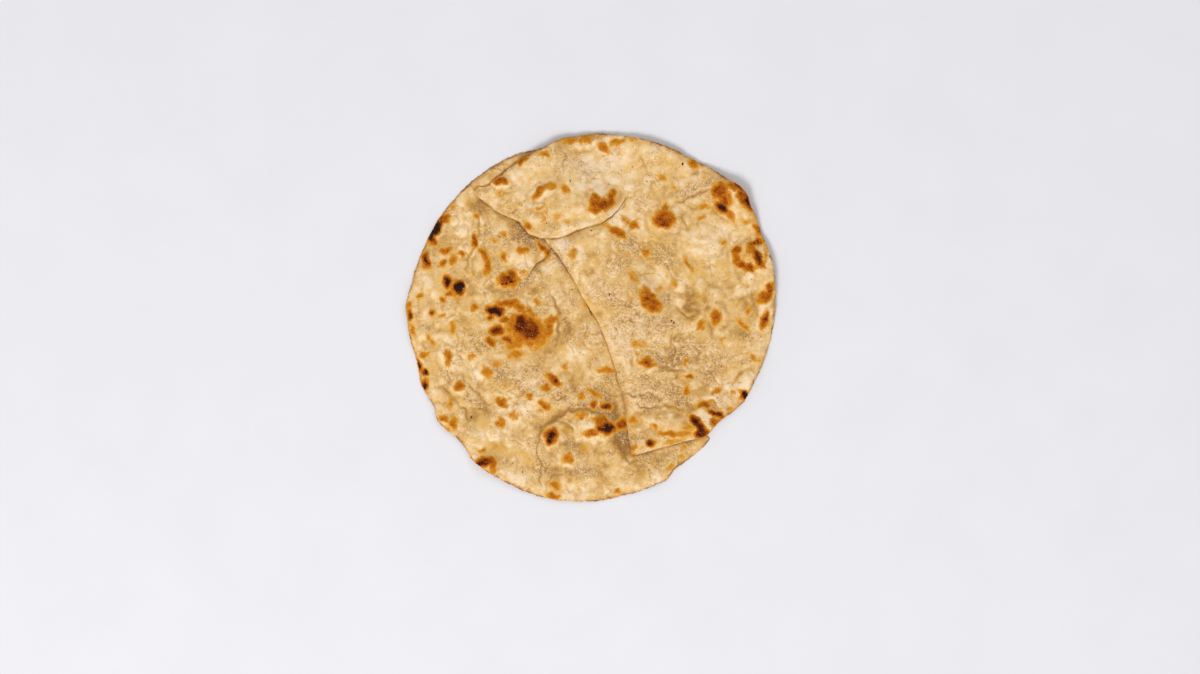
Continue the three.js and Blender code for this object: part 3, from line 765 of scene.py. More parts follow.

# The upper half's own paler and darker tone, with painted shade by the seam and the laps, and painted light
# on slopes that the relief shades.
UPPER_TONE_AND_PAINTED_SHADING = (
    (540, 180, 60, 28, 15, 0.4), (597, 184, 20, 10, 0, 0.6), (584, 166, 22, 14, 0, 0.6),
    (618, 168, 22, 22, 0, 0.8), (718, 238, 22, 22, 0, 0.45), (742, 276, 20, 12, 0, 0.3),
    (722, 392, 14, 16, 0, 0.9), (614, 345, 24, 16, 0, 0.4), (650, 420, 14, 7, -5, 0.2),
    (714, 297, 8, 7, 0, 0.5), (655, 376, 8, 8, 0, 0.4), (697, 241, 10, 8, 0, 0.3),
    (681, 303, 5, 4.4, 0, 0.95), (590, 214, 34, 9, 15, 0.4), (571, 250, 18, 9, -30, 0.9),
    (617, 221, 16, 13, 0, 0.9), (668, 208, 24, 8, -10, 0.55), (656, 280, 20, 14, 20, 0.45),
    (686, 258, 22, 9, 15, 0.35), (650, 340, 16, 16, 0, 0.4), (700, 347, 20, 9, 0, 0.25),
    (645, 446, 12, 8, 0, 0.6), (680, 385, 34, 24, 0, -0.4), (690, 306, 12, 20, 0, -1.15),
    (712, 300, 10, 14, 0, -0.3), (675, 352, 9, 28, 0, -0.7), (750, 301, 13, 11, 0, -0.9),
    (742, 338, 14, 10, 0, -0.2), (650, 255, 24, 14, -30, -0.25), (508, 209, 16, 7, 25, -0.4),
    (703, 206, 14, 6, 0, -0.3), (636, 308, 18, 22, 0, -0.15), (617, 400, 10, 26, 10, -1.2),
    (655, 420, 30, 9, -5, -0.7), (684, 408, 14, 9, 0, -0.8), (706, 175, 22, 12, -35, -0.15),
    (694, 262, 16, 12, 0, -0.1), (690, 442, 12, 14, -40, 0.5), (602, 148, 14, 9, 0, 0.9),
    (590, 180, 9, 18, 10, 0.9), (585, 228, 14, 7, 0, 0.5), (568, 262, 7, 12, 0, 0.4),
    (586, 272, 12, 8, 0, -0.3), (706, 292, 12, 10, 0, -0.5), (716, 369, 12, 8, 0, -0.5),
    (692, 424, 12, 6, 0, -0.5), (690, 245, 12, 7, 0, -0.4), (717, 326, 12, 8, 0, -0.4),
    (666, 361, 13, 9, 0, -0.6), (620, 405, 14, 14, 0, -0.4), (759, 262, 8, 12, 0, 1.0),
    (761, 324, 6, 10, 0, 0.9), (718, 401, 16, 7, -35, 0.6), (612, 330, 14, 8, 0, 0.4),
    (600, 192, 10, 8, 0, 0.9), (605, 148, 10, 8, 0, 0.5),
)

LOWER_WORN = (
    (525, 378, 42, 20, -8, 1), (575, 395, 30, 16, -10, 1), (488, 405, 16, 14, 0, 0.9),
    (470, 345, 20, 12, 0, 0.6), (604, 398, 24, 14, -79, 0.9), (528, 243, 30, 13, -28, 0.9),
    (567, 328, 24, 12, 100, 0.8), (538, 447, 20, 14, 0, 0.7), (590, 470, 26, 10, 0, 0.5),
    (585, 340, 20, 16, 0, 0.6), (500, 290, 26, 8, 0, 0.4), (432, 285, 40, 14, 80, -1),
    (445, 345, 20, 22, 0, -0.8), (500, 438, 38, 14, -25, -0.9), (600, 490, 50, 8, 5, -0.6),
)

UPPER_WORN = (
    (662, 255, 34, 15, -20, 1), (622, 300, 30, 20, 0, 0.8), (640, 330, 30, 22, 0, 0.9),
    (688, 358, 34, 22, 0, 1), (655, 395, 44, 18, 0, 0.8), (706, 190, 26, 10, 10, 0.7),
    (620, 265, 24, 12, 0, 0.7), (720, 350, 24, 20, 0, 0.5), (690, 420, 14, 8, 0, 0.8),
    (715, 255, 30, 24, 0, -1), (640, 180, 40, 16, 0, -0.6), (560, 205, 40, 16, 0, -0.8),
    (540, 180, 40, 20, 0, -0.6), (745, 290, 20, 16, 0, -0.6),
)

LOWER_OILY = (
    (470, 410, 40, 8, -42, 0.8), (505, 450, 40, 9, -20, 0.8), (590, 366, 26, 7, 5, 0.5),
    (572, 343, 16, 10, 0, 0.5), (440, 300, 40, 10, 90, 0.4), (600, 482, 40, 8, 5, 0.4),
)

UPPER_OILY = (
    (602, 308, 24, 8, 5, 0.8), (508, 203, 22, 10, 10, 0.8), (535, 175, 20, 10, 0, 0.5),
    (634, 168, 18, 8, 0, 0.3), (700, 268, 40, 10, 0, 0.6), (655, 240, 40, 8, -5, 0.5),
    (725, 345, 20, 16, 0, 0.5), (640, 382, 30, 8, 0, 0.5), (560, 232, 20, 6, 15, 0.6),
)

SPECKS = (
    (682.5, 164.5, 3.2), (570, 182, 2.2), (547, 226, 2.2), (592, 231, 2.0), (647, 182, 1.5),
    (555.5, 151.5, 1.6), (655, 371, 1.6), (471.5, 417, 2.4), (523, 472, 1.7), (460, 362, 1.5),
    (610, 295, 2.0), (671, 321, 2.1), (674, 323, 2.3), (628, 428.5, 2.6), (441, 421, 2.2),
    (686, 460.5, 2.4), (668, 475, 2.0), (621, 171, 1.3), (601, 223.5, 1.5), (724, 338, 1.3),
    (433, 313, 2.4), (650, 398, 1.4),
)


# ---- reading the marks ----


@dataclass(frozen=True)
class TopView:
    """A view from straight above, in whose pixels the marks are listed."""

    width: int = 1200
    height: int = 674
    middle: Pair = (590.5, 317.5)  # pixel over the bread's middle
    scale: float = 0.73  # millimetres to a pixel

    def place(self, x: float, y: float) -> Pair:
        """Where a pixel lies, in millimetres."""
        return (x - self.middle[0]) * self.scale, (self.middle[1] - y) * self.scale

    def ovals(self, kind: type[Oval], rows: Rows) -> tuple[Oval, ...]:
        """Toasts or patches of rows x, y, half length, half width, turn and their own values.

        Args:
            kind: Toast or Zone.
            rows: One row for each.

        Returns:
            The toasts or patches, in millimetres.
        """
        return tuple(
            kind(*self.place(x, y), length * self.scale, width * self.scale, *rest)
            for x, y, length, width, *rest in rows
        )

    def creases(self, rows: tuple[tuple[Pairs, float, float], ...]) -> tuple[Crease, ...]:
        """Creases of rows path, width in pixels and depth in millimetres.

        Args:
            rows: One row for each crease.

        Returns:
            The creases, in millimetres.
        """
        return tuple(
            Crease(tuple(self.place(*point) for point in path), width * self.scale, depth)
            for path, width, depth in rows
        )

    def specks(self, rows: Rows) -> Array:
        """Rows of x, y and size in pixels as rows in millimetres."""
        return np.array([(*self.place(x, y), size * self.scale) for x, y, size in rows])


TOP_VIEW = TopView()


@dataclass(frozen=True)
class Marks:
    """What baking leaves on one skin of a half, with painted shade and light among its patches."""

    toasts: tuple[Toast, ...]
    creases: tuple[Crease, ...] = ()
    # Patches of the dough's own tone, among them painted shade and painted light.
    tone_and_painted_shading: tuple[Zone, ...] = ()
    worn: tuple[Zone, ...] = ()
    oily: tuple[Zone, ...] = ()

    def fields(self, points: Array) -> dict[str, Array]:
        """Work out every mark at each point.

        Args:
            points: Points of the skin.

        Returns:
            The fields of `baked` and `folded`, and for each kind of patch the shades
            that meet at each point.
        """
        bent = wandering(points)
        shades = {
            name: sum((zone.weight(bent) for zone in zones), np.zeros(len(points)))
            for name, zones in (("tone_and_painted_shading", self.tone_and_painted_shading), ("worn", self.worn), ("oily", self.oily))
        }
        return {**self.baked(bent), **self.folded(points, bent), **shades}

    def baked(self, bent: Array) -> dict[str, Array]:
        """Brown the skin in spots.

        Args:
            bent: Points of the skin, shifted so that the spots look uneven.

        Returns:
            `toast`, the tone from 0 to 1, and `char`, the depth inside char.
        """
        toast, char = np.zeros(len(bent)), np.full(len(bent), -CHAR_REACH)
        for spot in self.toasts:
            near = spot.near(bent, CHAR_REACH)
            core = min(max(0.65 * spot.width, 1.2), 5.0)
            depth = smooth(spot.depth(bent[near]), -TOAST_FADE, core)
            toast[near] = np.maximum(toast[near], spot.tone * depth)
            if spot.char:
                char[near] = np.maximum(char[near], spot.depth(bent[near], spot.char))
        return {"toast": toast, "char": char}

    def folded(self, points: Array, bent: Array) -> dict[str, Array]:
        """Press the creases into the skin.

        Args:
            points: Points of the skin.
            bent: The same points, shifted so that the creases look uneven.

        Returns:
            `crease` and `lip`, the depth of the fold lines and the height beside them,
            and `aside`, the distance to the left of the nearest fold line.
        """
        crease, lip = np.zeros((2, len(points)))
        aside = np.full(len(points), FOLD_REACH)
        for line in self.creases:
            near = line.near(points)
            groove, ridge, left = line.form(bent[near])
            crease[near] = np.maximum(crease[near], groove)
            lip[near] = np.maximum(lip[near], ridge)
            aside[near] = np.where(abs(left) < abs(aside[near]), left, aside[near])
        return {"crease": crease, "lip": lip, "aside": aside}


def wandering(points: Array) -> Array:
    """Shift points a little, so that what is drawn at them loses its regular edge.

    Args:
        points: Points of a skin.

    Returns:
        The points, each about half a millimetre off.
    """
    x, y = points.T
    dx = 0.55 * np.sin(x / 2.3 + 1.7 * np.sin(y / 3.1)) + 0.4 * np.sin(y / 1.3 + x / 4.7)
    dy = 0.55 * np.sin(y / 2.1 + 1.5 * np.sin(x / 2.7)) + 0.4 * np.sin(x / 1.1 - y / 5.3)
    return points + np.column_stack([dx, dy])


def scattered(seed: int, count: int, sizes: Pair, tones: Pair, charred: float = 0.0) -> tuple[Toast, ...]:
    """Spots strewn over the whole round.

    Args:
        seed: Seed of the random choice.
        count: Number of spots.
        sizes: Smallest and largest half length.
        tones: Faintest and deepest tone.
        charred: Share of the spots that have char in their middle.

    Returns:
        The spots, small ones more often than large ones.
    """
    rng = np.random.default_rng(seed)
    reach = CAD_BOX[1][0] / MM
    spots = []
    for _ in range(count):
        x, y = rng.uniform(-reach, reach, 2)
        length = sizes[0] + (sizes[1] - sizes[0]) * rng.random() ** 2
        tone = rng.uniform(*tones)
        char = STREWN_CHAR if rng.random() < charred else 0.0
        width, turn = length * rng.uniform(0.45, 0.95), rng.uniform(0, 180)
        spots.append(Toast(x, y, length, width, turn, tone, char))
    return tuple(spots)


def small_blisters(seed: int, count: int) -> tuple[Blister, ...]:
    """Small blisters strewn over the whole round.

    Args:
        seed: Seed of the random choice.
        count: Number of blisters.

    Returns:
        The blisters, each lower than a tenth of its whole width.
    """
    rng = np.random.default_rng(seed)
    reach = CAD_BOX[1][0] / MM
    domes = []
    for _ in range(count):
        x, y = rng.uniform(-reach, reach, 2)
        length = rng.uniform(2.2, 7.5)
        width = length * rng.uniform(0.55, 0.95)
        turn, height = rng.uniform(0, 180), width * rng.uniform(0.06, 0.18)
        domes.append(Blister(x, y, length, width, turn, height))
    return tuple(domes)


# ---- node trees ----


class Nodes:
    """Short calls that add nodes to one tree."""

    def __init__(self, tree: bpy.types.NodeTree) -> None:
        """Work on a tree."""
        self.tree = tree

    def feed(self, socket: Socket, value: object) -> None:
        """Link a socket to another one, or set its value.

        Args:
            socket: Input to feed.
            value: Output to link to it, or the value to set.
        """
        if isinstance(value, Socket):
            self.tree.links.new(value, socket)
        else:
            socket.default_value = value

    def add(self, kind: str, feeds: Feeds | None = None, **settings: object) -> bpy.types.Node:
        """Add a node.

        Args:
            kind: Type name of the node.
            feeds: Value or socket for each input, by the input's name or place.
            **settings: Properties of the node.

        Returns:
            The node.
        """
        node = self.tree.nodes.new(kind)
        for name, value in settings.items():
            setattr(node, name, value)
        for name, value in (feeds or {}).items():
            self.feed(node.inputs[name], value)
        return node

    def math(self, operation: str, *values: object) -> Socket:
        """Result of a Math node."""
        return self.add("ShaderNodeMath", dict(enumerate(values)), operation=operation).outputs[0]

    def vector(self, operation: str, feeds: Feeds) -> Socket:
        """Result of a Vector Math node."""
        return self.add("ShaderNodeVectorMath", feeds, operation=operation).outputs[0]

    def product(self, *factors: object) -> Socket:
        """Product of values and sockets."""
        return reduce(lambda first, second: self.math("MULTIPLY", first, second), factors)

    def total(self, *terms: tuple[object, object]) -> Socket:
        """Weighted sum.

        Args:
            *terms: Pairs of a value or socket and its weight.

        Returns:
            The sum's socket.
        """
        result: object = 0.0
        for value, weight in terms:
            result = self.math("MULTIPLY_ADD", value, weight, result)
        return result

    def ease(self, value: object, low: float, high: float) -> Socket:
        """Ease from 0 at one value to 1 at another."""
        feeds = {"Value": value, "From Min": low, "From Max": high}
        return self.add("ShaderNodeMapRange", feeds, interpolation_type="SMOOTHSTEP").outputs[0]

    def fade(self, value: object, low: float, high: float) -> Socket:
        """Ease from 1 at one value to 0 at another."""
        return self.math("SUBTRACT", 1.0, self.ease(value, low, high))

    def vein(self, value: object, width: float) -> Socket:
        """Thin line where a value passes zero."""
        return self.fade(self.math("ABSOLUTE", value), 0.0, width)


class Surface(Nodes):
    """A new material, with short calls for what a finish reads and sets."""

    def __init__(self, name: str) -> None:
        """Make the material, with its patterns placed by the object's own coordinates.

        Args:
            name: Name of the material.
        """
        self.material = bpy.data.materials.new(name)
        self.material.use_nodes = True
        super().__init__(self.material.node_tree)
        self.shader = self.tree.nodes["Principled BSDF"]
        self.place = self.add("ShaderNodeTexCoord").outputs["Object"]

    def dress(self, name: str, value: object) -> None:
        """Feed one of the shader's inputs with a socket or a value."""
        self.feed(self.shader.inputs[name], value)

    def noise(self, size: float, detail: float = 3.0, rough: float = 0.55) -> Socket:
        """Noise of about -0.25 to 0.25, with features of a size in millimetres."""
        feeds = {"Vector": self.place, "Scale": 1 / (size * MM), "Detail": detail, "Roughness": rough}
        return self.math("SUBTRACT", self.add("ShaderNodeTexNoise", feeds).outputs[0], 0.5)

    def pits(self) -> Socket:
        """Uneven pits a few millimetres apart, 0 at the bottom."""
        return self.math("ABSOLUTE", self.noise(3.0, 3.0, 0.65))

    def ramp(self, value: object, stops: Stops) -> Socket:
        """Colour ramp.

        Args:
            value: What the ramp is read at.
            stops: Place and colour of each stop.

        Returns:
            The colour's socket.
        """
        node = self.add("ShaderNodeValToRGB", {0: value})
        elements = node.color_ramp.elements
        while len(elements) < len(stops):
            elements.new(1.0)
        for element, (at, colour) in zip(elements, stops):
            element.position = at
            element.color = linear(colour)
        return node.outputs[0]

    def blend(self, share: object, first: object, second: object) -> Socket:
        """Colour that goes from the first to the second with the share."""
        return self.add("ShaderNodeMix", {0: share, 6: first, 7: second}, data_type="RGBA").outputs[2]

    def stain(self, colour: object, share: object, weight: float, target: Colour) -> Socket:
        """Colour stained with another one, by a share that is weighted first."""
        return self.blend(self.product(share, weight), colour, linear(target))

    def attribute(self, name: str) -> Socket:
        """Value of one of the mesh's attributes."""
        return self.add("ShaderNodeAttribute", attribute_name=name).outputs["Fac"]


def linear(colour: Colour) -> tuple[float, float, float, float]:
    """Scene colour of a display colour from 0 to 255."""
    shares = [value / 255 for value in colour]
    return (*(v / 12.92 if v <= 0.04045 else ((v + 0.055) / 1.055) ** 2.4 for v in shares), 1.0)


class GeometryTree(Nodes):
    """A geometry node tree with named inputs that ends in one material."""

    def __init__(self, name: str, inputs: dict[str, float]) -> None:
        """Build the tree.

        Args:
            name: Name of the tree.
            inputs: Value of each named input.
        """
        super().__init__(bpy.data.node_groups.new(name, "GeometryNodeTree"))
        self.values = inputs
        face = self.tree.interface
        face.new_socket("Geometry", in_out="INPUT", socket_type="NodeSocketGeometry")
        face.new_socket("Material", in_out="INPUT", socket_type="NodeSocketMaterial")
        for label in inputs:
            face.new_socket(label, in_out="INPUT", socket_type="NodeSocketFloat")
        face.new_socket("Geometry", in_out="OUTPUT", socket_type="NodeSocketGeometry")
        self.source = self.add("NodeGroupInput").outputs
        real = self.add("GeometryNodeRealizeInstances", {0: self.route()}).outputs[0]
        feeds = {"Geometry": real, "Material": self.source["Material"]}
        self.add("NodeGroupOutput", {0: self.add("GeometryNodeSetMaterial", feeds).outputs[0]})

    def route(self) -> Socket:
        """Geometry that the tree makes, before it is realised."""
        raise NotImplementedError

    def stored(self, name: str, kind: str = "FLOAT") -> Socket:
        """Value of an attribute of the geometry."""
        return self.add("GeometryNodeInputNamedAttribute", {"Name": name}, data_type=kind).outputs[0]

    def apply(self, obj: bpy.types.Object, material: bpy.types.Material) -> None:
        """Replace an object's mesh by what the tree makes of it.

        Args:
            obj: Object whose mesh goes in.
            material: Material of the result.
        """
        modifier = obj.modifiers.new("tree", "NODES")
        modifier.node_group = self.tree
        for item in self.tree.interface.items_tree:
            if item.in_out == "INPUT" and item.name in self.values:
                modifier[item.identifier] = float(self.values[item.name])
            elif item.in_out == "INPUT" and item.name == "Material":
                modifier[item.identifier] = material
        graph = bpy.context.evaluated_depsgraph_get()
        made = bpy.data.meshes.new_from_object(
            obj.evaluated_get(graph), preserve_all_data_layers=True, depsgraph=graph
        )
        obj.modifiers.remove(modifier)
        obj.data = made
        made.name = obj.name


class SkinTree(GeometryTree):
    """Fine relief of baked skin: bubbles of steam, and wrinkles between them.

    The point attribute `relief` scales it, and turns it inwards where negative. The
    tree keeps what the finish reads: `bubble`, `wrinkled` and `fold` from 0 to 1, and
    in `fine` and `broad` how far a point stands over the skin round it.
    """

    place: Socket  # coordinates in millimetres

    def route(self) -> Socket:
        """Move the skin along its own normal.

        Returns:
            The skin, with the attributes that the finish reads.
        """
        source = self.source
        metres = self.add("GeometryNodeInputPosition").outputs[0]
        self.place = self.vector("SCALE", {0: metres, "Scale": 1 / MM})
        bubble, wrinkled, fold = self.bubbles(), self.wrinkled(), self.folds()
        wrinkle = self.pattern(source["Wrinkle Size"], 3.0, 0.6)
        ridge = self.product(self.math("ABSOLUTE", self.math("SUBTRACT", wrinkle, 0.5)), 3.0, wrinkled)
        swell = self.math("SUBTRACT", self.pattern(source["Swell Size"], 2.0), 0.5)
        rise = self.total(
            (bubble, source["Bubble Height"]), (ridge, source["Wrinkle Height"]),
            (self.product(fold, -1.0), source["Fold Depth"]), (swell, source["Swell Height"]),
        )
        height = self.product(rise, self.stored("relief"), MM)
        normal = self.add("GeometryNodeInputNormal").outputs[0]
        feeds = {"Geometry": source["Geometry"], "Offset": self.vector("SCALE", {0: normal, "Scale": height})}
        moved = self.add("GeometryNodeSetPosition", feeds).outputs[0]
        x, y, z = self.add("ShaderNodeSeparateXYZ", {0: metres}).outputs
        feeds = {"X": x, "Y": y, "Z": self.math("MAXIMUM", z, REST_HEIGHT * MM)}
        rested = self.add("ShaderNodeCombineXYZ", feeds).outputs[0]
        skin = self.add("GeometryNodeSetPosition", {"Geometry": moved, "Position": rested}).outputs[0]
        above = self.math("DIVIDE", z, MM)
        near = self.blurred(above, 5)
        kept = {
            "bubble": bubble, "wrinkled": wrinkled, "fold": fold,
            "fine": self.math("SUBTRACT", above, near),
            "broad": self.math("SUBTRACT", near, self.blurred(near, 45)),
        }
        for name, value in kept.items():
            feeds = {"Geometry": skin, "Name": name, "Value": value}
            store = self.add("GeometryNodeStoreNamedAttribute", feeds, data_type="FLOAT", domain="POINT")
            skin = store.outputs[0]
        return skin

    def bubbles(self) -> Socket:
        """Domes of steam, in patches.

        Returns:
            Socket of 1 on their crowns and 0 between them.
        """
        feeds = {"Vector": self.place, "Scale": self.math("DIVIDE", 1.0, self.source["Bubble Size"])}
        cells = self.add("ShaderNodeTexVoronoi", feeds, feature="SMOOTH_F1")
        feeds = {"Vector": self.place, "Scale": 0.09, "Detail": 2.0}
        patchy = self.add("ShaderNodeTexNoise", feeds).outputs[0]
        return self.product(self.fade(cells.outputs["Distance"], 0.08, 0.62), self.ease(patchy, 0.38, 0.62))

    def wrinkled(self) -> Socket:
        """Share of wrinkles, more where the dough is worn."""
        patches = self.total((self.pattern(17.0, 2.0), 1.0), (self.stored("worn"), 0.16))
        return self.ease(patches, 0.48, 0.66)

    def folds(self) -> Socket:
        """Narrow fold lines, in stretches: 1 on the lines and 0 beside them."""
        bend = self.math("SUBTRACT", self.pattern(self.source["Fold Size"], 1.5, 1.0), 0.5)
        return self.product(self.vein(bend, 0.035), self.ease(self.pattern(21.0, 1.0), 0.46, 0.6))

    def pattern(self, size: object, detail: float, distortion: float = 0.0) -> Socket:
        """Noise of one feature size.

        Args:
            size: Size of its features in millimetres.
            detail: Number of finer octaves.
            distortion: How far the features are bent.

        Returns:
            Socket of about 0.25 to 0.75.
        """
        scale = self.math("DIVIDE", 1.0, size)
        feeds = {"Vector": self.place, "Scale": scale, "Detail": detail, "Distortion": distortion}
        return self.add("ShaderNodeTexNoise", feeds).outputs[0]

    def blurred(self, value: Socket, rounds: int) -> Socket:
        """Value averaged over the neighbouring points again and again."""
        feeds = {"Value": value, "Iterations": rounds}
        return self.add("GeometryNodeBlurAttribute", feeds, data_type="FLOAT").outputs[0]


class FlakeTree(GeometryTree):
    """A small ragged flake on each point, sized by the attribute `size`.

    The attribute `up` is the direction that the flake lies across.
    """

    def route(self) -> Socket:
        """Lay flakes on the points.

        Returns:
            The flakes, still as instances.
        """
        source = self.source
        ball = self.add("GeometryNodeMeshIcoSphere", {"Radius": 0.5, "Subdivisions": 2}).outputs[0]
        spot = self.add("GeometryNodeInputPosition").outputs[0]
        feeds = {"Vector": spot, "Scale": source["Raggedness"]}
        ragged = self.add("ShaderNodeTexNoise", feeds).outputs["Color"]
        feeds = {"Geometry": ball, "Offset": self.vector("SUBTRACT", {0: ragged, 1: (0.5, 0.5, 0.5)})}
        flake = self.add("GeometryNodeSetPosition", feeds).outputs[0]
        spin = self.chosen(3, (0.0, 0.0, 0.0), (0.0, 0.0, math.tau))
        feeds = {0: spin, "Vector": self.stored("up", "FLOAT_VECTOR")}
        lying = self.add("FunctionNodeAlignRotationToVector", feeds, axis="Z").outputs[0]
        wide = self.chosen(5, (0.8, 0.45, 0.0), (1.3, 0.8, 0.0))
        flat = self.add("ShaderNodeCombineXYZ", {"Z": source["Thickness"]}).outputs[0]
        shape = self.vector("ADD", {0: wide, 1: flat})
        scale = self.vector("SCALE", {0: shape, "Scale": self.stored("size")})
        feeds = {"Points": source["Geometry"], "Instance": flake, "Rotation": lying, "Scale": scale}
        return self.add("GeometryNodeInstanceOnPoints", feeds).outputs[0]

    def chosen(self, seed: int, low: tuple[float, float, float], high: tuple[float, float, float]) -> Socket:
        """Random vector for each flake, between two limits."""
        feeds = {"Seed": seed, 0: low, 1: high}
        return self.add("FunctionNodeRandomValue", feeds, data_type="FLOAT_VECTOR").outputs[0]


# ---- finishes ----


@dataclass(frozen=True)
class CrustFinish:
    """Baked dough: paler on its bubbles, tan in hollows partly by painted shade, toasted and charred in
    spots.
    """

    name: str
    base: Stops = (
        (0.0, (154, 106, 50)), (0.25, (187, 140, 75)), (0.45, (211, 166, 99)),
        (0.65, (229, 189, 128)), (0.85, (240, 206, 157)), (1.0, (246, 218, 178)),
    )
    toasted: Stops = (
        (0.0, (230, 187, 100)), (0.18, (220, 162, 56)), (0.36, (206, 136, 30)),
        (0.55, (184, 104, 18)), (0.72, (150, 72, 12)), (0.86, (110, 46, 10)), (1.0, (66, 27, 9)),
    )
    charred: Colour = (42, 22, 13)
    # Colour of the painted shade in the creases' grooves.
    crease_shade: Colour = (166, 116, 62)
    honey: Colour = (225, 176, 84)
    ashen: Colour = (212, 167, 118)
    # Colour of the painted shade line along each fold.
    fold_shade_line: Colour = (128, 84, 42)
    # Colour of the dough's cracks, also used for the painted shade of fold lines and blister feet.
    vein: Colour = (158, 112, 62)
    painted_glint: Colour = (252, 224, 182)
    browned: Colour = (190, 122, 50)
    scorched: Colour = (112, 60, 26)
    crumb: Colour = (222, 184, 128)
    lightness: float = 0.0  # added to the shade all over

    def material(self) -> bpy.types.Material:
        """Build the material.

        Returns:
            The material.
        """
        coat = Surface(self.name)
        coat.dress("Base Color", self.toasting(coat, self.rim(coat, self.dough(coat))))
        rough = coat.total(
            (coat.noise(13.0), 0.7), (coat.noise(1.1), 0.5), (coat.attribute("bubble"), 0.1), (1.0, 0.58),
        )
        coat.dress("Roughness", rough)
        grain = coat.total((coat.noise(0.9, 4.0, 0.65), 0.6), (coat.noise(2.6), 0.8), (coat.pits(), 0.9))
        grain = coat.product(grain, coat.total((coat.attribute("wrinkled"), 0.9), (1.0, 0.35)))
        bump = coat.add("ShaderNodeBump", {"Strength": 0.5, "Distance": 0.8 * MM, "Height": grain})
        coat.dress("Normal", bump.outputs[0])
        matt = coat.ease(coat.attribute("toast"), 0.1, 0.6)
        coat.dress("Specular IOR Level", coat.total((matt, -0.16), (1.0, 0.2)))
        return coat.material

    def dough(self, coat: Surface) -> Socket:
        """Colour the dough where it isn't toasted.

        Args:
            coat: Nodes of the material.

        Returns:
            The colour's socket.
        """
        # The overlap attribute is painted shade, darkest right at the edge of the dough that lies over the
        # top.
        small, wrinkled, painted_overlap_shade = coat.noise(2.0), coat.attribute("wrinkled"), coat.attribute("painted_overlap_shade")
        grain = coat.total((coat.noise(1.1, 3.0, 0.8), 0.8), (coat.pits(), 1.2), (1.0, -0.104))
        grain = coat.product(grain, coat.total((wrinkled, 0.85), (1.0, 0.3)))
        shade = coat.total(
            (coat.noise(22.0, 2.0), 1.0), (coat.noise(6.0), 0.9), (small, 0.38), (grain, 1.8),
            # The patches add the dough's tone and their painted shade and light.
            (coat.attribute("tone_and_painted_shading"), 0.46), (coat.attribute("crown"), 0.15),
            # fine and broad: darker in hollows and lighter on rises, partly the dough's own tone and partly
            # painted shade.
            (coat.attribute("bubble"), 0.06), (coat.attribute("fine"), 0.5),
            (coat.attribute("broad"), 0.22), (painted_overlap_shade, -0.14), (coat.ease(painted_overlap_shade, 0.85, 1.0), -0.2),
            (wrinkled, -0.15), (1.0, 0.63 + self.lightness),
        )
        colour = coat.ramp(shade, self.base)
        honey = coat.ease(coat.total((coat.noise(8.5), 1.0), (coat.attribute("oily"), 0.18)), 0.02, 0.18)
        colour = coat.stain(colour, coat.product(honey, coat.ease(shade, -0.3, 0.3)), 0.62, self.honey)
        ashen = coat.ease(coat.total((wrinkled, 0.7), (coat.noise(4.0), 1.2)), 0.15, 0.8)
        colour = coat.stain(colour, coat.product(ashen, coat.ease(shade, 0.1, 0.6)), 0.24, self.ashen)
        cracks = coat.total(
            (coat.vein(coat.noise(2.6, 2.0), 0.035), 0.34), (coat.vein(coat.noise(7.0), 0.016), 0.42),
        )
        cracks = coat.product(cracks, coat.total((wrinkled, 0.8), (1.0, 0.25)))
        # The fold lines and the line round each blister's foot are painted shade in their grooves; the cracks
        # are the dough's own lines.
        lines = coat.total((cracks, 1.0), (coat.attribute("fold"), 0.3), (coat.attribute("foot"), 0.24))
        colour = coat.blend(lines, colour, linear(self.vein))
        # Painted glints: pale specks and thin bright lines that stand in for highlights on the wrinkled
        # dough.
        painted_glints = coat.ease(coat.total((coat.noise(1.0), 1.0), (small, 0.5)), 0.08, 0.2)
        painted_glints = coat.math("MAXIMUM", painted_glints, coat.vein(coat.noise(3.4, 2.0), 0.03))
        colour = coat.stain(colour, coat.product(painted_glints, wrinkled), 0.6, self.painted_glint)
        # Painted shade in the creases' grooves, with the browner dough of the folds.
        crease = coat.attribute("crease")
        crease_shade = coat.ease(coat.total((crease, 1.0), (small, 0.7)), 0.05, 0.75)
        colour = coat.stain(colour, crease_shade, 0.7, self.crease_shade)
        # Painted shade: a thin dark line along each fold line.
        fold_shade_line = coat.vein(coat.total((coat.attribute("aside"), 1.0), (coat.noise(3.0), 1.2)), 0.75)
        broken = coat.ease(coat.noise(8.0), -0.18, 0.12)
        fold_shade_line = coat.product(fold_shade_line, coat.ease(crease, 0.04, 0.34), broken)
        colour = coat.stain(colour, fold_shade_line, 0.65, self.fold_shade_line)
        return coat.stain(colour, coat.attribute("crumb"), 0.8, self.crumb)

    def rim(self, coat: Surface, colour: Socket) -> Socket:
        """Brown the outer rim in stretches.

        Args:
            coat: Nodes of the material.
            colour: Colour of the dough.

        Returns:
            The colour's socket.
        """
        edge = coat.attribute("edge")
        wide = coat.fade(coat.total((edge, 1.0), (coat.noise(4.0), 5.0)), 0.0, 2.8)
        patchy = coat.ease(coat.noise(17.0), -0.14, 0.12)
        colour = coat.stain(colour, coat.product(wide, patchy), 0.8, self.browned)
        thin = coat.fade(coat.total((edge, 1.0), (coat.noise(2.2), 3.0)), -0.3, 1.1)
        bitten = coat.ease(coat.noise(7.0), -0.12, 0.12)
        return coat.stain(colour, coat.product(thin, bitten), 0.8, self.scorched)

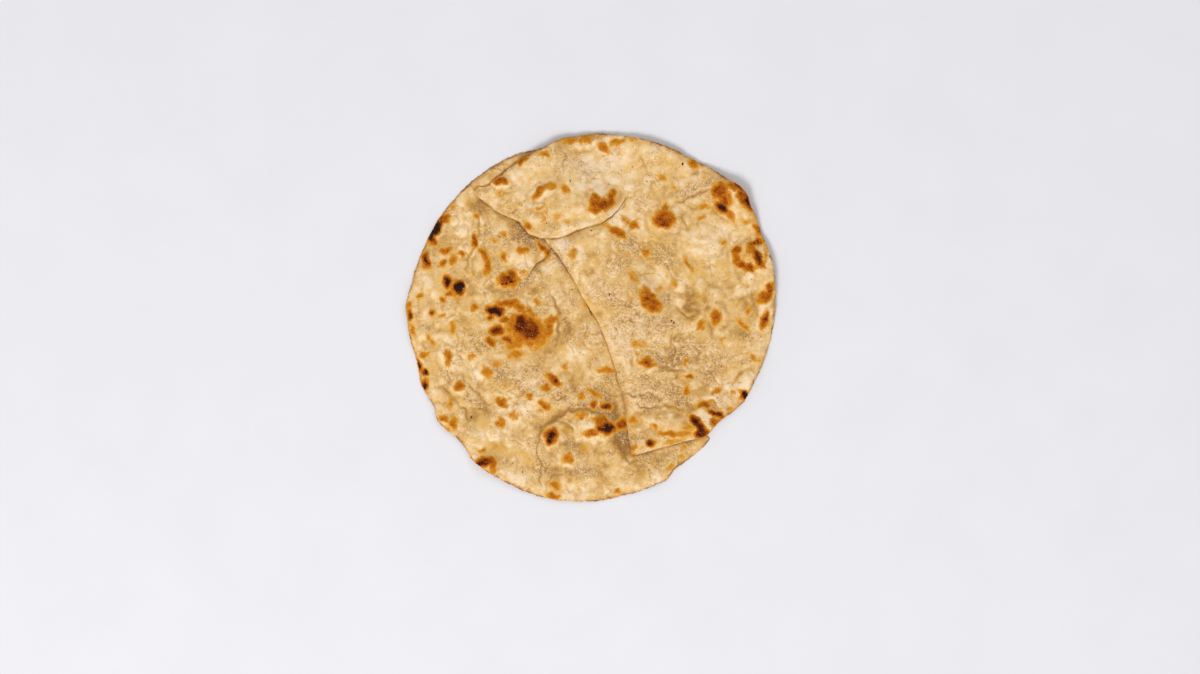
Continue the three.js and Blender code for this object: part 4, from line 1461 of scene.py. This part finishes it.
    def toasting(self, coat: Surface, colour: Socket) -> Socket:
        """Lay the toasted and charred spots over a colour.

        Args:
            coat: Nodes of the material.
            colour: Colour below.

        Returns:
            The colour's socket.
        """
        ragged = coat.total((coat.noise(3.6), 0.8), (coat.noise(1.2, 4.0, 0.7), 1.1))
        toast = coat.attribute("toast")
        uneven = coat.product(ragged, coat.total((coat.ease(toast, 0.0, 0.3), 0.32), (toast, 0.6)))
        # The toasting deepens in hollows by the same painted shade.
        depth = coat.total((toast, 1.0), (uneven, 1.0), (coat.attribute("fine"), -0.25))
        colour = coat.blend(coat.ease(depth, 0.0, 0.4), colour, coat.ramp(depth, self.toasted))
        burnt = coat.math("ADD", coat.attribute("char"), coat.product(ragged, 3.0))
        return coat.stain(colour, coat.ease(burnt, -0.6, 0.9), 0.92, self.charred)


@dataclass(frozen=True)
class FlakeFinish:
    """Bran or scorched crumb, darker in its hollows."""

    name: str
    light: Colour
    dark: Colour

    def material(self) -> bpy.types.Material:
        """Build the material.

        Returns:
            The material.
        """
        coat = Surface(self.name)
        shade = coat.math("ADD", coat.noise(0.7), 0.5)
        coat.dress("Base Color", coat.ramp(shade, ((0.3, self.dark), (0.7, self.light))))
        coat.dress("Roughness", coat.total((coat.noise(0.3), 0.6), (1.0, 0.7)))
        return coat.material


@dataclass(frozen=True)
class TableFinish:
    """Pale matte table, hardly mottled."""

    name: str = "pale_table"
    light: Colour = (232, 231, 235)
    dark: Colour = (228, 227, 231)

    def material(self) -> bpy.types.Material:
        """Build the material.

        Returns:
            The material.
        """
        coat = Surface(self.name)
        shade = coat.math("ADD", coat.noise(60.0), 0.5)
        coat.dress("Base Color", coat.ramp(shade, ((0.2, self.dark), (0.8, self.light))))
        coat.dress("Roughness", 0.8)
        return coat.material


# ---- the two halves ----


class Edge(Enum):
    """Kinds of edge: how far it rounds out, and how rough it is."""

    RIM = (0.5, 0.12)
    CUT = (0.1, 0.22)
    SLIT = (0.0, 0.0)


@dataclass
class Skin:
    """Top or underside of a half as a flat net."""

    points: Array
    flap: Array  # True for each point on the flap's side of the hinge
    triangles: Array


def net(loop: Array, step: float) -> tuple[Array, Array]:
    """Fill a closed outline with triangles.

    Args:
        loop: Corners of the outline.
        step: Spacing of the points inside.

    Returns:
        The points added inside, and triangles over the corners and those points.

    Raises:
        ValueError: If the outline crosses itself.
    """
    inner = lattice(loop, step)
    corners = np.vstack([loop, inner])
    outline = [list(range(len(loop)))]
    found = delaunay_2d_cdt([Vector(corner) for corner in corners], [], outline, 1, 1e-7)
    made, _, faces, origins, _, _ = found
    if any(not origin for origin in origins):
        raise ValueError(f"outline crosses itself near {made[[not o for o in origins].index(True)]}")
    first = np.array([origin[0] for origin in origins])
    triangles = first[np.array(faces)]
    a, b, c = corners[triangles.T]
    area = (b[:, 0] - a[:, 0]) * (c[:, 1] - a[:, 1]) - (b[:, 1] - a[:, 1]) * (c[:, 0] - a[:, 0])
    triangles[area < 0] = triangles[area < 0][:, ::-1]
    return inner, triangles


def placed(name: str, data: bpy.types.ID) -> bpy.types.Object:
    """Add an object to the scene, at the origin.

    Args:
        name: Name of the object.
        data: Its mesh, light or camera.

    Returns:
        The object.
    """
    obj = bpy.data.objects.new(name, data)
    bpy.context.scene.collection.objects.link(obj)
    return obj


def uncovered(free: Array) -> Array:
    """Share of the relief that the dough lying over each point leaves it."""
    return smooth(free, 0.6, 2.6)


@dataclass
class Half:
    """A cut half: one closed sheet of two patches that meet at a hinge line."""

    name: str
    slot: str
    rim: Rim
    slit: Slit
    hinge_at: float  # direction of the hinge's end on the rim
    ends: Pair  # directions where the rim ends, on the flap first
    flap_cut: Pairs
    tucked_cuts: tuple[Pairs, ...]
    blisters: tuple[Blister, ...]
    marks: Marks
    seed: int
    other: "Half | None" = None
    ring: Array = field(init=False)
    edges: list[Edge] = field(init=False)
    corner: int = field(init=False)  # place in the ring of the hinge's end
    hinge: Array = field(init=False)

    def __post_init__(self) -> None:
        """Walk the outline and the hinge."""
        paths = [
            (curve(self.slit.path, OUTLINE_STEP), Edge.SLIT),
            (curve(self.slit.flap_edge, OUTLINE_STEP), Edge.CUT),
            (curve(self.flap_cut, OUTLINE_STEP), Edge.CUT),
            (self.rim.arc(self.ends[0], self.hinge_at, OUTLINE_STEP), Edge.RIM),
            (self.rim.arc(self.hinge_at, self.ends[1], OUTLINE_STEP), Edge.RIM),
            *((curve(cut, OUTLINE_STEP), Edge.CUT) for cut in self.tucked_cuts),
            (curve(self.slit.tucked_edge, OUTLINE_STEP), Edge.CUT),
            (self.slit.facing(OUTLINE_STEP), Edge.SLIT),
        ]
        walks = [
            spaced(np.vstack([path, after[:1]]), TOP_STEP)
            for (path, _), (after, _) in zip(paths, paths[1:] + paths[:1])
        ]
        self.ring = np.concatenate(walks)
        self.edges = [edge for walk, (_, edge) in zip(walks, paths) for _ in walk]
        self.corner = sum(len(walk) for walk in walks[:4])
        self.hinge = spaced(np.array([self.ring[self.corner], self.ring[0]]), TOP_STEP)[1:]

    @property
    def flap(self) -> Array:
        """Outline of the patch that laps over the other."""
        return np.vstack([self.ring[: self.corner + 1], self.hinge])

    @property
    def tucked(self) -> Array:
        """Outline of the patch that the flap laps over."""
        return np.vstack([self.ring[self.corner :], self.ring[:1], self.hinge[::-1]])

    def held(self, kind: Edge) -> Array:
        """True for each point of the ring that has this kind of edge."""
        return np.array([edge is kind for edge in self.edges])

    def clear(self, points: Array) -> Array:
        """Distance from each point to the nearest dough of this half."""
        return np.minimum(outside(points, self.flap), outside(points, self.tucked))

    def bare_of_flap(self, points: Array, flap: Array) -> Array:
        """Distance from each tucked point to the dough that laps over it.

        Args:
            points: Points to measure from.
            flap: True for the points that are on the flap themselves.

        Returns:
            One distance for each point, large on the flap.
        """
        lap = np.flatnonzero([edge is not Edge.RIM for edge in self.edges[: self.corner]])
        distance = nearest(points, self.ring[lap])
        distance[inside(points, self.flap[::4])] = 0.0
        distance[flap] = FAR
        return distance

    def under(self, points: Array, flap: Array) -> Array:
        """Height of the underside at each point."""
        raise NotImplementedError

    def free(self, points: Array, flap: Array) -> Array:
        """Distance from each point to the dough that lies over it."""
        raise NotImplementedError

    def thickness(self, points: Array) -> Array:
        """Thickness of the dough without its blisters.

        Args:
            points: Points of the top.

        Returns:
            One thickness for each point.
        """
        share = 1.0 - RIM_THINNING * (1.0 - smooth(self.rim.inset(points), 0.0, RIM_BAND))
        rounded = 1.0 - ROUNDING * (1.0 - smooth(nearest(points, self.ring), 0.0, ROUND_BAND))
        cut = nearest(points, self.ring[self.held(Edge.CUT)])
        return DOUGH * share * rounded * (1.0 - CUT_TAPER * (1.0 - smooth(cut, 0.0, CUT_BAND)))

    def blistered(self, points: Array, free: Array) -> Swelling:
        """Raise the large and the small blisters, settled where other dough is near.

        Args:
            points: Points of the top.
            free: Distance from each to the dough that lies over it.

        Returns:
            Height, crowns and feet of all blisters.
        """
        large = Swelling.of(self.blisters, points)
        small = Swelling.of(small_blisters(self.seed, SMALL_BLISTERS), points)
        wide = smooth(free, 2.0, 12.0)
        close = smooth(nearest(points, self.ring), 0.0, 4.0) * smooth(free, 1.0, 5.0)
        return Swelling(
            large.height * wide + small.height * close,
            np.maximum(large.crown * wide, small.crown * close),
            np.maximum(large.foot * wide, small.foot * close),
        )

    def underside(self) -> Marks:
        """Strew toasted spots and lighter and darker patches over the underside.

        Returns:
            Its marks.
        """
        spots = scattered(self.seed + 1, *UNDER_SPOTS)
        patches = scattered(self.seed + 2, *UNDER_PATCHES)
        shades = (Zone(t.x, t.y, 3 * t.length, 3 * t.width, t.turn, t.tone - 0.4) for t in patches)
        return Marks(spots, tone_and_painted_shading=tuple(shades))

    def skin(self, step: float) -> Skin:
        """Lay the flat net of the top or the underside.

        Args:
            step: Spacing of the net.

        Returns:
            The net, with the ring's points first and the hinge's next.
        """
        count, edged = len(self.ring), len(self.ring) + len(self.hinge)
        hinge = np.arange(count, edged)
        loops = (
            (self.flap, [np.arange(self.corner + 1), hinge]),
            (self.tucked, [np.arange(self.corner, count), [0], hinge[::-1]]),
        )
        points, triangles = [self.ring, self.hinge], []
        for outline, places in loops:
            start = sum(map(len, points))
            inner, faces = net(outline, step)
            places = np.concatenate([*places, start + np.arange(len(inner))])
            triangles.append(places[faces])
            points.append(inner)
        flap = np.zeros(start + len(inner), bool)
        flap[: self.corner + 1] = True
        flap[edged:start] = True
        return Skin(np.vstack(points), flap, np.vstack(triangles))

    def outward(self) -> Array:
        """Find the direction out of the dough at each point of the ring.

        Returns:
            One unit vector for each point.
        """
        run = np.roll(self.ring, -1, axis=0) - np.roll(self.ring, 1, axis=0)
        out = np.column_stack([run[:, 1], -run[:, 0]]) / np.hypot(*run.T)[:, None]
        return out if self.turns_left() else -out

    def turns_left(self) -> bool:
        """True where the ring runs anticlockwise."""
        x, y = self.flap.T
        return float(np.sum(x * np.roll(y, -1) - np.roll(x, -1) * y)) > 0.0

    def wall_rows(self, low: Array, high: Array) -> list[Array]:
        """Points of the rows between the underside and the top of the edge.

        Args:
            low: Height of the underside at each point of the ring.
            high: Height of the top at each point of the ring.

        Returns:
            The rows, from the lowest up.
        """
        rng = np.random.default_rng(self.seed)
        out = self.outward()
        bulge, rough = np.array([edge.value for edge in self.edges]).T
        fade = smooth(nearest(self.ring, self.ring[self.held(Edge.SLIT)]), 0.5, 4.0)
        rows = []
        for row in range(1, WALL_ROWS):
            share = row / WALL_ROWS
            flaky = np.convolve(rng.normal(size=len(low) + 4), [0.2] * 5, "valid")
            reach = (bulge * math.sin(math.pi * share) + rough * flaky * 1.6) * fade
            ring = self.ring + out * reach[:, None]
            rows.append(np.column_stack([ring, low + (high - low) * share]))
        return rows

    def build(self) -> bpy.types.Object:
        """Make the half's mesh, with the marks of baking and painted shade as attributes.

        Returns:
            The object, at the origin.
        """
        top, below = self.skin(TOP_STEP), self.skin(UNDER_STEP)
        marks, free = self.marks.fields(top.points), self.free(top.points, top.flap)
        swelling = self.blistered(top.points, free)
        high = self.under(top.points, top.flap) + self.thickness(top.points) + swelling.height
        high += uncovered(free) * (TOAST_RISE * marks["toast"] - marks["crease"] + marks["lip"])
        low = self.under(below.points, below.flap)
        sides = [np.column_stack([top.points, high]), np.column_stack([below.points, low])]
        count = len(self.ring)
        points = np.vstack([*sides, *self.wall_rows(low[:count], high[:count])])
        turned = below.triangles[:, ::-1] + len(top.points)
        faces = [*top.triangles.tolist(), *turned.tolist(), *self.walls(len(top.points), len(points))]
        mesh = bpy.data.meshes.new(self.name)
        mesh.from_pydata((points * MM).tolist(), [], faces)
        mesh.shade_smooth()
        mesh.set_sharp_from_angle(angle=math.radians(SHARP_ANGLE))
        for name, values in self.layers(top, below, marks, free, swelling).items():
            layer = mesh.attributes.new(name, "FLOAT", "POINT")
            layer.data.foreach_set("value", values.astype(np.float32))
        return placed(self.name, mesh)

    def layers(self, top: Skin, below: Skin, marks: dict[str, Array], free: Array,
               swelling: Swelling) -> dict[str, Array]:
        """Work out what the relief and the finish read at each point of the mesh.

        Args:
            top: Net of the top.
            below: Net of the underside.
            marks: Marks of the top.
            free: Distance from each point of the top to the dough that lies over it.
            swelling: Blisters of the top.

        Returns:
            Each attribute's values, for the top, the underside and the rows of the edge.
        """
        count = len(self.ring)
        blank = [np.zeros(size) for size in (len(top.points), len(below.points), count)]
        parts = {
            name: (marks[name], values, (marks[name][:count] + values[:count]) / 2)
            for name, values in self.underside().fields(below.points).items()
        }
        at_rim, at_slit = self.held(Edge.RIM), self.held(Edge.SLIT)
        edges = [np.minimum(nearest(side.points, self.ring[at_rim]), EDGE_REACH) for side in (top, below)]
        parts["edge"] = (*edges, edges[0][:count])
        slit = smooth(nearest(top.points, self.ring[at_slit]), 0.5, 3.0)
        inner = 0.35 + 0.65 * smooth(nearest(top.points, self.ring), 0.0, 6.0)
        parts["relief"] = (uncovered(free) * slit * inner, blank[1] - 0.3, 0.3 * ~at_slit * slit[:count])
        # Painted shade: the top darkens within a few millimetres of the dough that lies over it.
        painted_overlap_shade = 1.0 - smooth(free, 0.5, 7.0)
        for name, values in (("crown", swelling.crown), ("foot", swelling.foot), ("painted_overlap_shade", painted_overlap_shade)):
            parts[name] = (values, *blank[1:])
        parts["crumb"] = (*blank[:2], 1.0 - at_rim)
        return {
            name: np.concatenate([above, under, *[beside] * (WALL_ROWS - 1)])
            for name, (above, under, beside) in parts.items()
        }

    def walls(self, bottom_start: int, total: int) -> list[list[int]]:
        """Faces of the edge, from the underside up to the top.

        Args:
            bottom_start: Index of the underside's first point.
            total: Number of points in the whole mesh.

        Returns:
            Four corners for each face, seen from outside anticlockwise.
        """
        count = len(self.ring)
        first_row = total - (WALL_ROWS - 1) * count
        starts = [bottom_start, *(first_row + row * count for row in range(WALL_ROWS - 1)), 0]
        here = np.arange(count)
        after = np.roll(here, -1)
        faces = []
        for low, high in zip(starts, starts[1:]):
            quads = np.column_stack([high + here, low + here, low + after, high + after])
            faces.extend((quads if self.turns_left() else quads[:, ::-1]).tolist())
        return faces


@dataclass
class LowerHalf(Half):
    """The half that lies on the table."""

    def under(self, points: Array, flap: Array) -> Array:
        """Height of the underside: the table, but for the rim and the flap."""
        curl = self.rim.lift(points) + np.maximum(0.0, wave(points) - 0.35)
        return np.where(flap, self.slit.lift(points), 0.0) + smooth(self.other.clear(points), 3, 14) * curl

    def free(self, points: Array, flap: Array) -> Array:
        """Distance to the upper half or this half's own flap, if that is nearer."""
        return np.minimum(self.other.clear(points), self.bare_of_flap(points, flap))


@dataclass
class UpperHalf(Half):
    """The half that lies on the lower one and sinks to the table past it."""

    def under(self, points: Array, flap: Array) -> Array:
        """Height of the underside: over the lower half, then down to the table.

        Args:
            points: Points of the top or the underside.
            flap: True for each point on the flap.

        Returns:
            One height for each point.
        """
        drape = 1.0 - smooth(self.other.clear(points), 2.0, DRAPE)
        ridge = self.other.slit.spread(points, RIDGE_SPREAD)
        low_edge = 1.0 - smooth(nearest(points, curve(UPPER_LOW_EDGE, TRACK_STEP)), 0.0, LOW_EDGE_BAND)
        lift = np.where(flap, self.slit.lift(points), 0.0)
        curls = self.rim.lift(points) + LOW_EDGE_CURL * low_edge
        settled = smooth(nearest(points, curve(UPPER_TUCKED_CUT, TRACK_STEP)), 0.0, WAVE_SHY)
        return LAYER * (drape + ridge) + wave(points) * settled + curls + lift

    def free(self, points: Array, flap: Array) -> Array:
        """Distance to this half's own flap."""
        return self.bare_of_flap(points, flap)


def wave(points: Array) -> Array:
    """Slow waves in the dough, never below zero."""
    x, y = points.T
    return WAVE * (0.5 + 0.5 * np.sin(x / 17 + y / 31) * np.cos(y / 19 - x / 43))


# ---- assembly ----


@dataclass(frozen=True)
class Flakes:
    """Small flakes that lie on a half."""

    name: str
    places: Array  # points in metres
    ups: Array
    sizes: Array  # metres

    def build(self, tree: FlakeTree, material: bpy.types.Material) -> bpy.types.Object:
        """Make the flakes as one piece.

        Args:
            tree: Tree that lays a flake on each point.
            material: Material of the flakes.

        Returns:
            The object, at the origin.
        """
        mesh = bpy.data.meshes.new(self.name)
        mesh.from_pydata(self.places.tolist(), [], [])
        mesh.attributes.new("size", "FLOAT", "POINT").data.foreach_set("value", self.sizes)
        mesh.attributes.new("up", "FLOAT_VECTOR", "POINT").data.foreach_set("vector", self.ups.ravel())
        obj = placed(self.name, mesh)
        tree.apply(obj, material)
        obj.data.shade_smooth()
        return obj


@dataclass(frozen=True)
class BareSkin:
    """Points on the shown top of a half, where flakes may lie."""

    places: Array  # metres
    ups: Array

    @classmethod
    def of(cls, obj: bpy.types.Object) -> "BareSkin":
        """Find the bare points of a half's finished object.

        Args:
            obj: The object.

        Returns:
            Its bare points.
        """
        mesh = obj.data
        places, ups = np.empty((2, len(mesh.vertices), 3))
        mesh.vertices.foreach_get("co", places.ravel())
        mesh.vertex_normals.foreach_get("vector", ups.ravel())
        relief = np.empty(len(mesh.vertices))
        mesh.attributes["relief"].data.foreach_get("value", relief)
        bare = (relief > 0.5) & (ups[:, 2] > 0.8)
        return cls(places[bare], ups[bare])

    def strewn(self, name: str, seed: int, count: int, sizes: Pair) -> Flakes:
        """Flakes at random places.

        Args:
            name: Name of the piece.
            seed: Seed of the random choice.
            count: Number of flakes.
            sizes: Smallest and largest flake in millimetres.

        Returns:
            The flakes, not yet made.
        """
        rng = np.random.default_rng(seed)
        chosen = rng.choice(len(self.places), count, replace=False)
        return Flakes(name, self.places[chosen], self.ups[chosen], rng.uniform(*sizes, count) * MM)

    def listed(self, name: str, spots: Array) -> Flakes:
        """Flakes at listed places, those left out that lie off the bare skin.

        Args:
            name: Name of the piece.
            spots: Rows of x, y and size in millimetres.

        Returns:
            The flakes, not yet made.
        """
        away = np.hypot(*(self.places[None, :, :2] - spots[:, None, :2] * MM).transpose(2, 0, 1))
        chosen = np.argmin(away, axis=1)
        near = np.min(away, axis=1) < 1.2 * MM
        return Flakes(name, self.places[chosen[near]], self.ups[chosen[near]], spots[near, 2] * MM)


@dataclass
class Chapati:
    """Both halves with their finishes and flakes."""

    lower: LowerHalf
    upper: UpperHalf
    skin: SkinTree
    flakes: FlakeTree
    bran_count: int = 320  # on each half
    bran_sizes: Pair = (0.5, 1.3)

    def build(self) -> list[bpy.types.Object]:
        """Make every piece and tie it to the frame.

        Returns:
            The pieces, in the order they are made.
        """
        self.lower.other, self.upper.other = self.upper, self.lower
        bran = FlakeFinish("bran", (204, 150, 84), (172, 116, 56)).material()
        soot = FlakeFinish("scorched_crumb", (58, 34, 22), (24, 15, 12)).material()
        pieces = []
        for half, lightness in ((self.lower, 0.0), (self.upper, 0.03)):
            obj = half.build()
            crust = CrustFinish(f"{half.slot}_baked", lightness=lightness).material()
            self.skin.apply(obj, crust)
            self.tie(obj)
            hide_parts(half.name.removesuffix("_skin"))
            pieces.append(obj)
            bare = BareSkin.of(obj)
            strewn = bare.strewn(f"{half.name}_bran", half.seed, self.bran_count, self.bran_sizes)
            listed = bare.listed(f"{half.name}_soot", TOP_VIEW.specks(SPECKS))
            for flakes, material in ((strewn, bran), (listed, soot)):
                pieces.append(flakes.build(self.flakes, material))
                self.tie(pieces[-1])
        return pieces

    def tie(self, obj: bpy.types.Object) -> None:
        """Let a piece ride with the bread."""
        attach(obj, "root")


@dataclass(frozen=True)
class Light:
    """A square soft light that faces the bread."""

    name: str
    place: tuple[float, float, float]  # metres
    side: float  # metres
    power: float  # watts

    def build(self) -> None:
        """Hang the light."""
        data = bpy.data.lights.new(self.name, "AREA")
        data.size = self.side
        data.energy = self.power
        lamp = placed(self.name, data)
        lamp.location = self.place
        lamp.rotation_euler = (-Vector(self.place)).to_track_quat("-Z", "Y").to_euler()


@dataclass(frozen=True)
class Studio:
    """Pale table, soft light and a camera straight above."""

    table_reach: float = 3.0  # metres from its middle to its sides
    key: Light = Light("key", (-1.1, -2.4, 2.6), 1.3, 88.0)
    fill: Light = Light("fill", (1.3, 1.7, 2.6), 2.0, 18.0)
    room_light: float = 0.5
    height: float = 1.2  # of the camera, in metres
    sensor: float = 36.0  # width of the camera's sensor

    def build(self) -> None:
        """Make the table, the lights and the camera."""
        self.table()
        self.key.build()
        self.fill.build()
        world = bpy.data.worlds.new("soft_room")
        world.use_nodes = True
        room = world.node_tree.nodes["Background"].inputs
        room["Color"].default_value = (1.0, 1.0, 1.0, 1.0)
        room["Strength"].default_value = self.room_light
        bpy.context.scene.world = world
        bpy.context.scene.view_settings.view_transform = "Standard"
        self.camera()

    def table(self) -> None:
        """Make the table top."""
        size = self.table_reach
        mesh = bpy.data.meshes.new("table_top")
        corners = [(-size, -size, 0.0), (size, -size, 0.0), (size, size, 0.0), (-size, size, 0.0)]
        mesh.from_pydata(corners, [], [(0, 1, 2, 3)])
        mesh.materials.append(TableFinish().material())
        floor = placed("table_top", mesh)

    def camera(self) -> None:
        """Hang the camera so that it frames what the top view shows."""
        x, y = TOP_VIEW.place(TOP_VIEW.width / 2, TOP_VIEW.height / 2)
        lens = bpy.data.cameras.new("above")
        lens.sensor_width = self.sensor
        lens.lens = self.sensor * self.height / (TOP_VIEW.width * TOP_VIEW.scale * MM)
        camera = placed("above", lens)
        camera.location = (x * MM, y * MM, self.height)
        bpy.context.scene.camera = camera


def main() -> None:
    """Build the bread and its studio."""
    logging.basicConfig(level=logging.INFO, format="%(name)s: %(message)s")
    lower = LowerHalf(
        name="lower_half_skin",
        slot="lower_crust",
        rim=LOWER_RIM,
        slit=LOWER_SLIT,
        hinge_at=LOWER_HINGE_AT,
        ends=LOWER_ENDS,
        flap_cut=LOWER_FLAP_CUT,
        tucked_cuts=(LOWER_TUCKED_CUT,),
        blisters=LOWER_BLISTERS,
        marks=Marks(
            TOP_VIEW.ovals(Toast, LOWER_TOASTS) + scattered(31, *FRECKLES),
            TOP_VIEW.creases(LOWER_CREASES),
            *(TOP_VIEW.ovals(Zone, rows) for rows in (LOWER_TONE_AND_PAINTED_SHADING, LOWER_WORN, LOWER_OILY)),
        ),
        seed=11,
    )
    upper = UpperHalf(
        name="upper_half_skin",
        slot="upper_crust",
        rim=UPPER_RIM,
        slit=UPPER_SLIT,
        hinge_at=UPPER_HINGE_AT,
        ends=UPPER_ENDS,
        flap_cut=UPPER_FLAP_CUT,
        tucked_cuts=(UPPER_LOW_EDGE, UPPER_TUCKED_CUT),
        blisters=UPPER_BLISTERS,
        marks=Marks(
            TOP_VIEW.ovals(Toast, UPPER_TOASTS) + scattered(37, *FRECKLES),
            TOP_VIEW.creases(UPPER_CREASES),
            *(TOP_VIEW.ovals(Zone, rows) for rows in (UPPER_TONE_AND_PAINTED_SHADING, UPPER_WORN, UPPER_OILY)),
        ),
        seed=23,
    )
    skin = SkinTree(
        "skin_relief",
        {
            "Bubble Size": 5.2, "Bubble Height": 0.4, "Wrinkle Size": 3.0, "Wrinkle Height": 0.5,
            "Swell Size": 17.0, "Swell Height": 2.3, "Fold Size": 15.0, "Fold Depth": 0.5,
        },
    )
    flakes = FlakeTree("flakes", {"Raggedness": 1.8, "Thickness": 0.3})
    for piece in Chapati(lower, upper, skin, flakes).build():
        log.info("%s: %d faces", piece.name, len(piece.data.polygons))
    Studio().build()


if __name__ == "__main__":
    main()
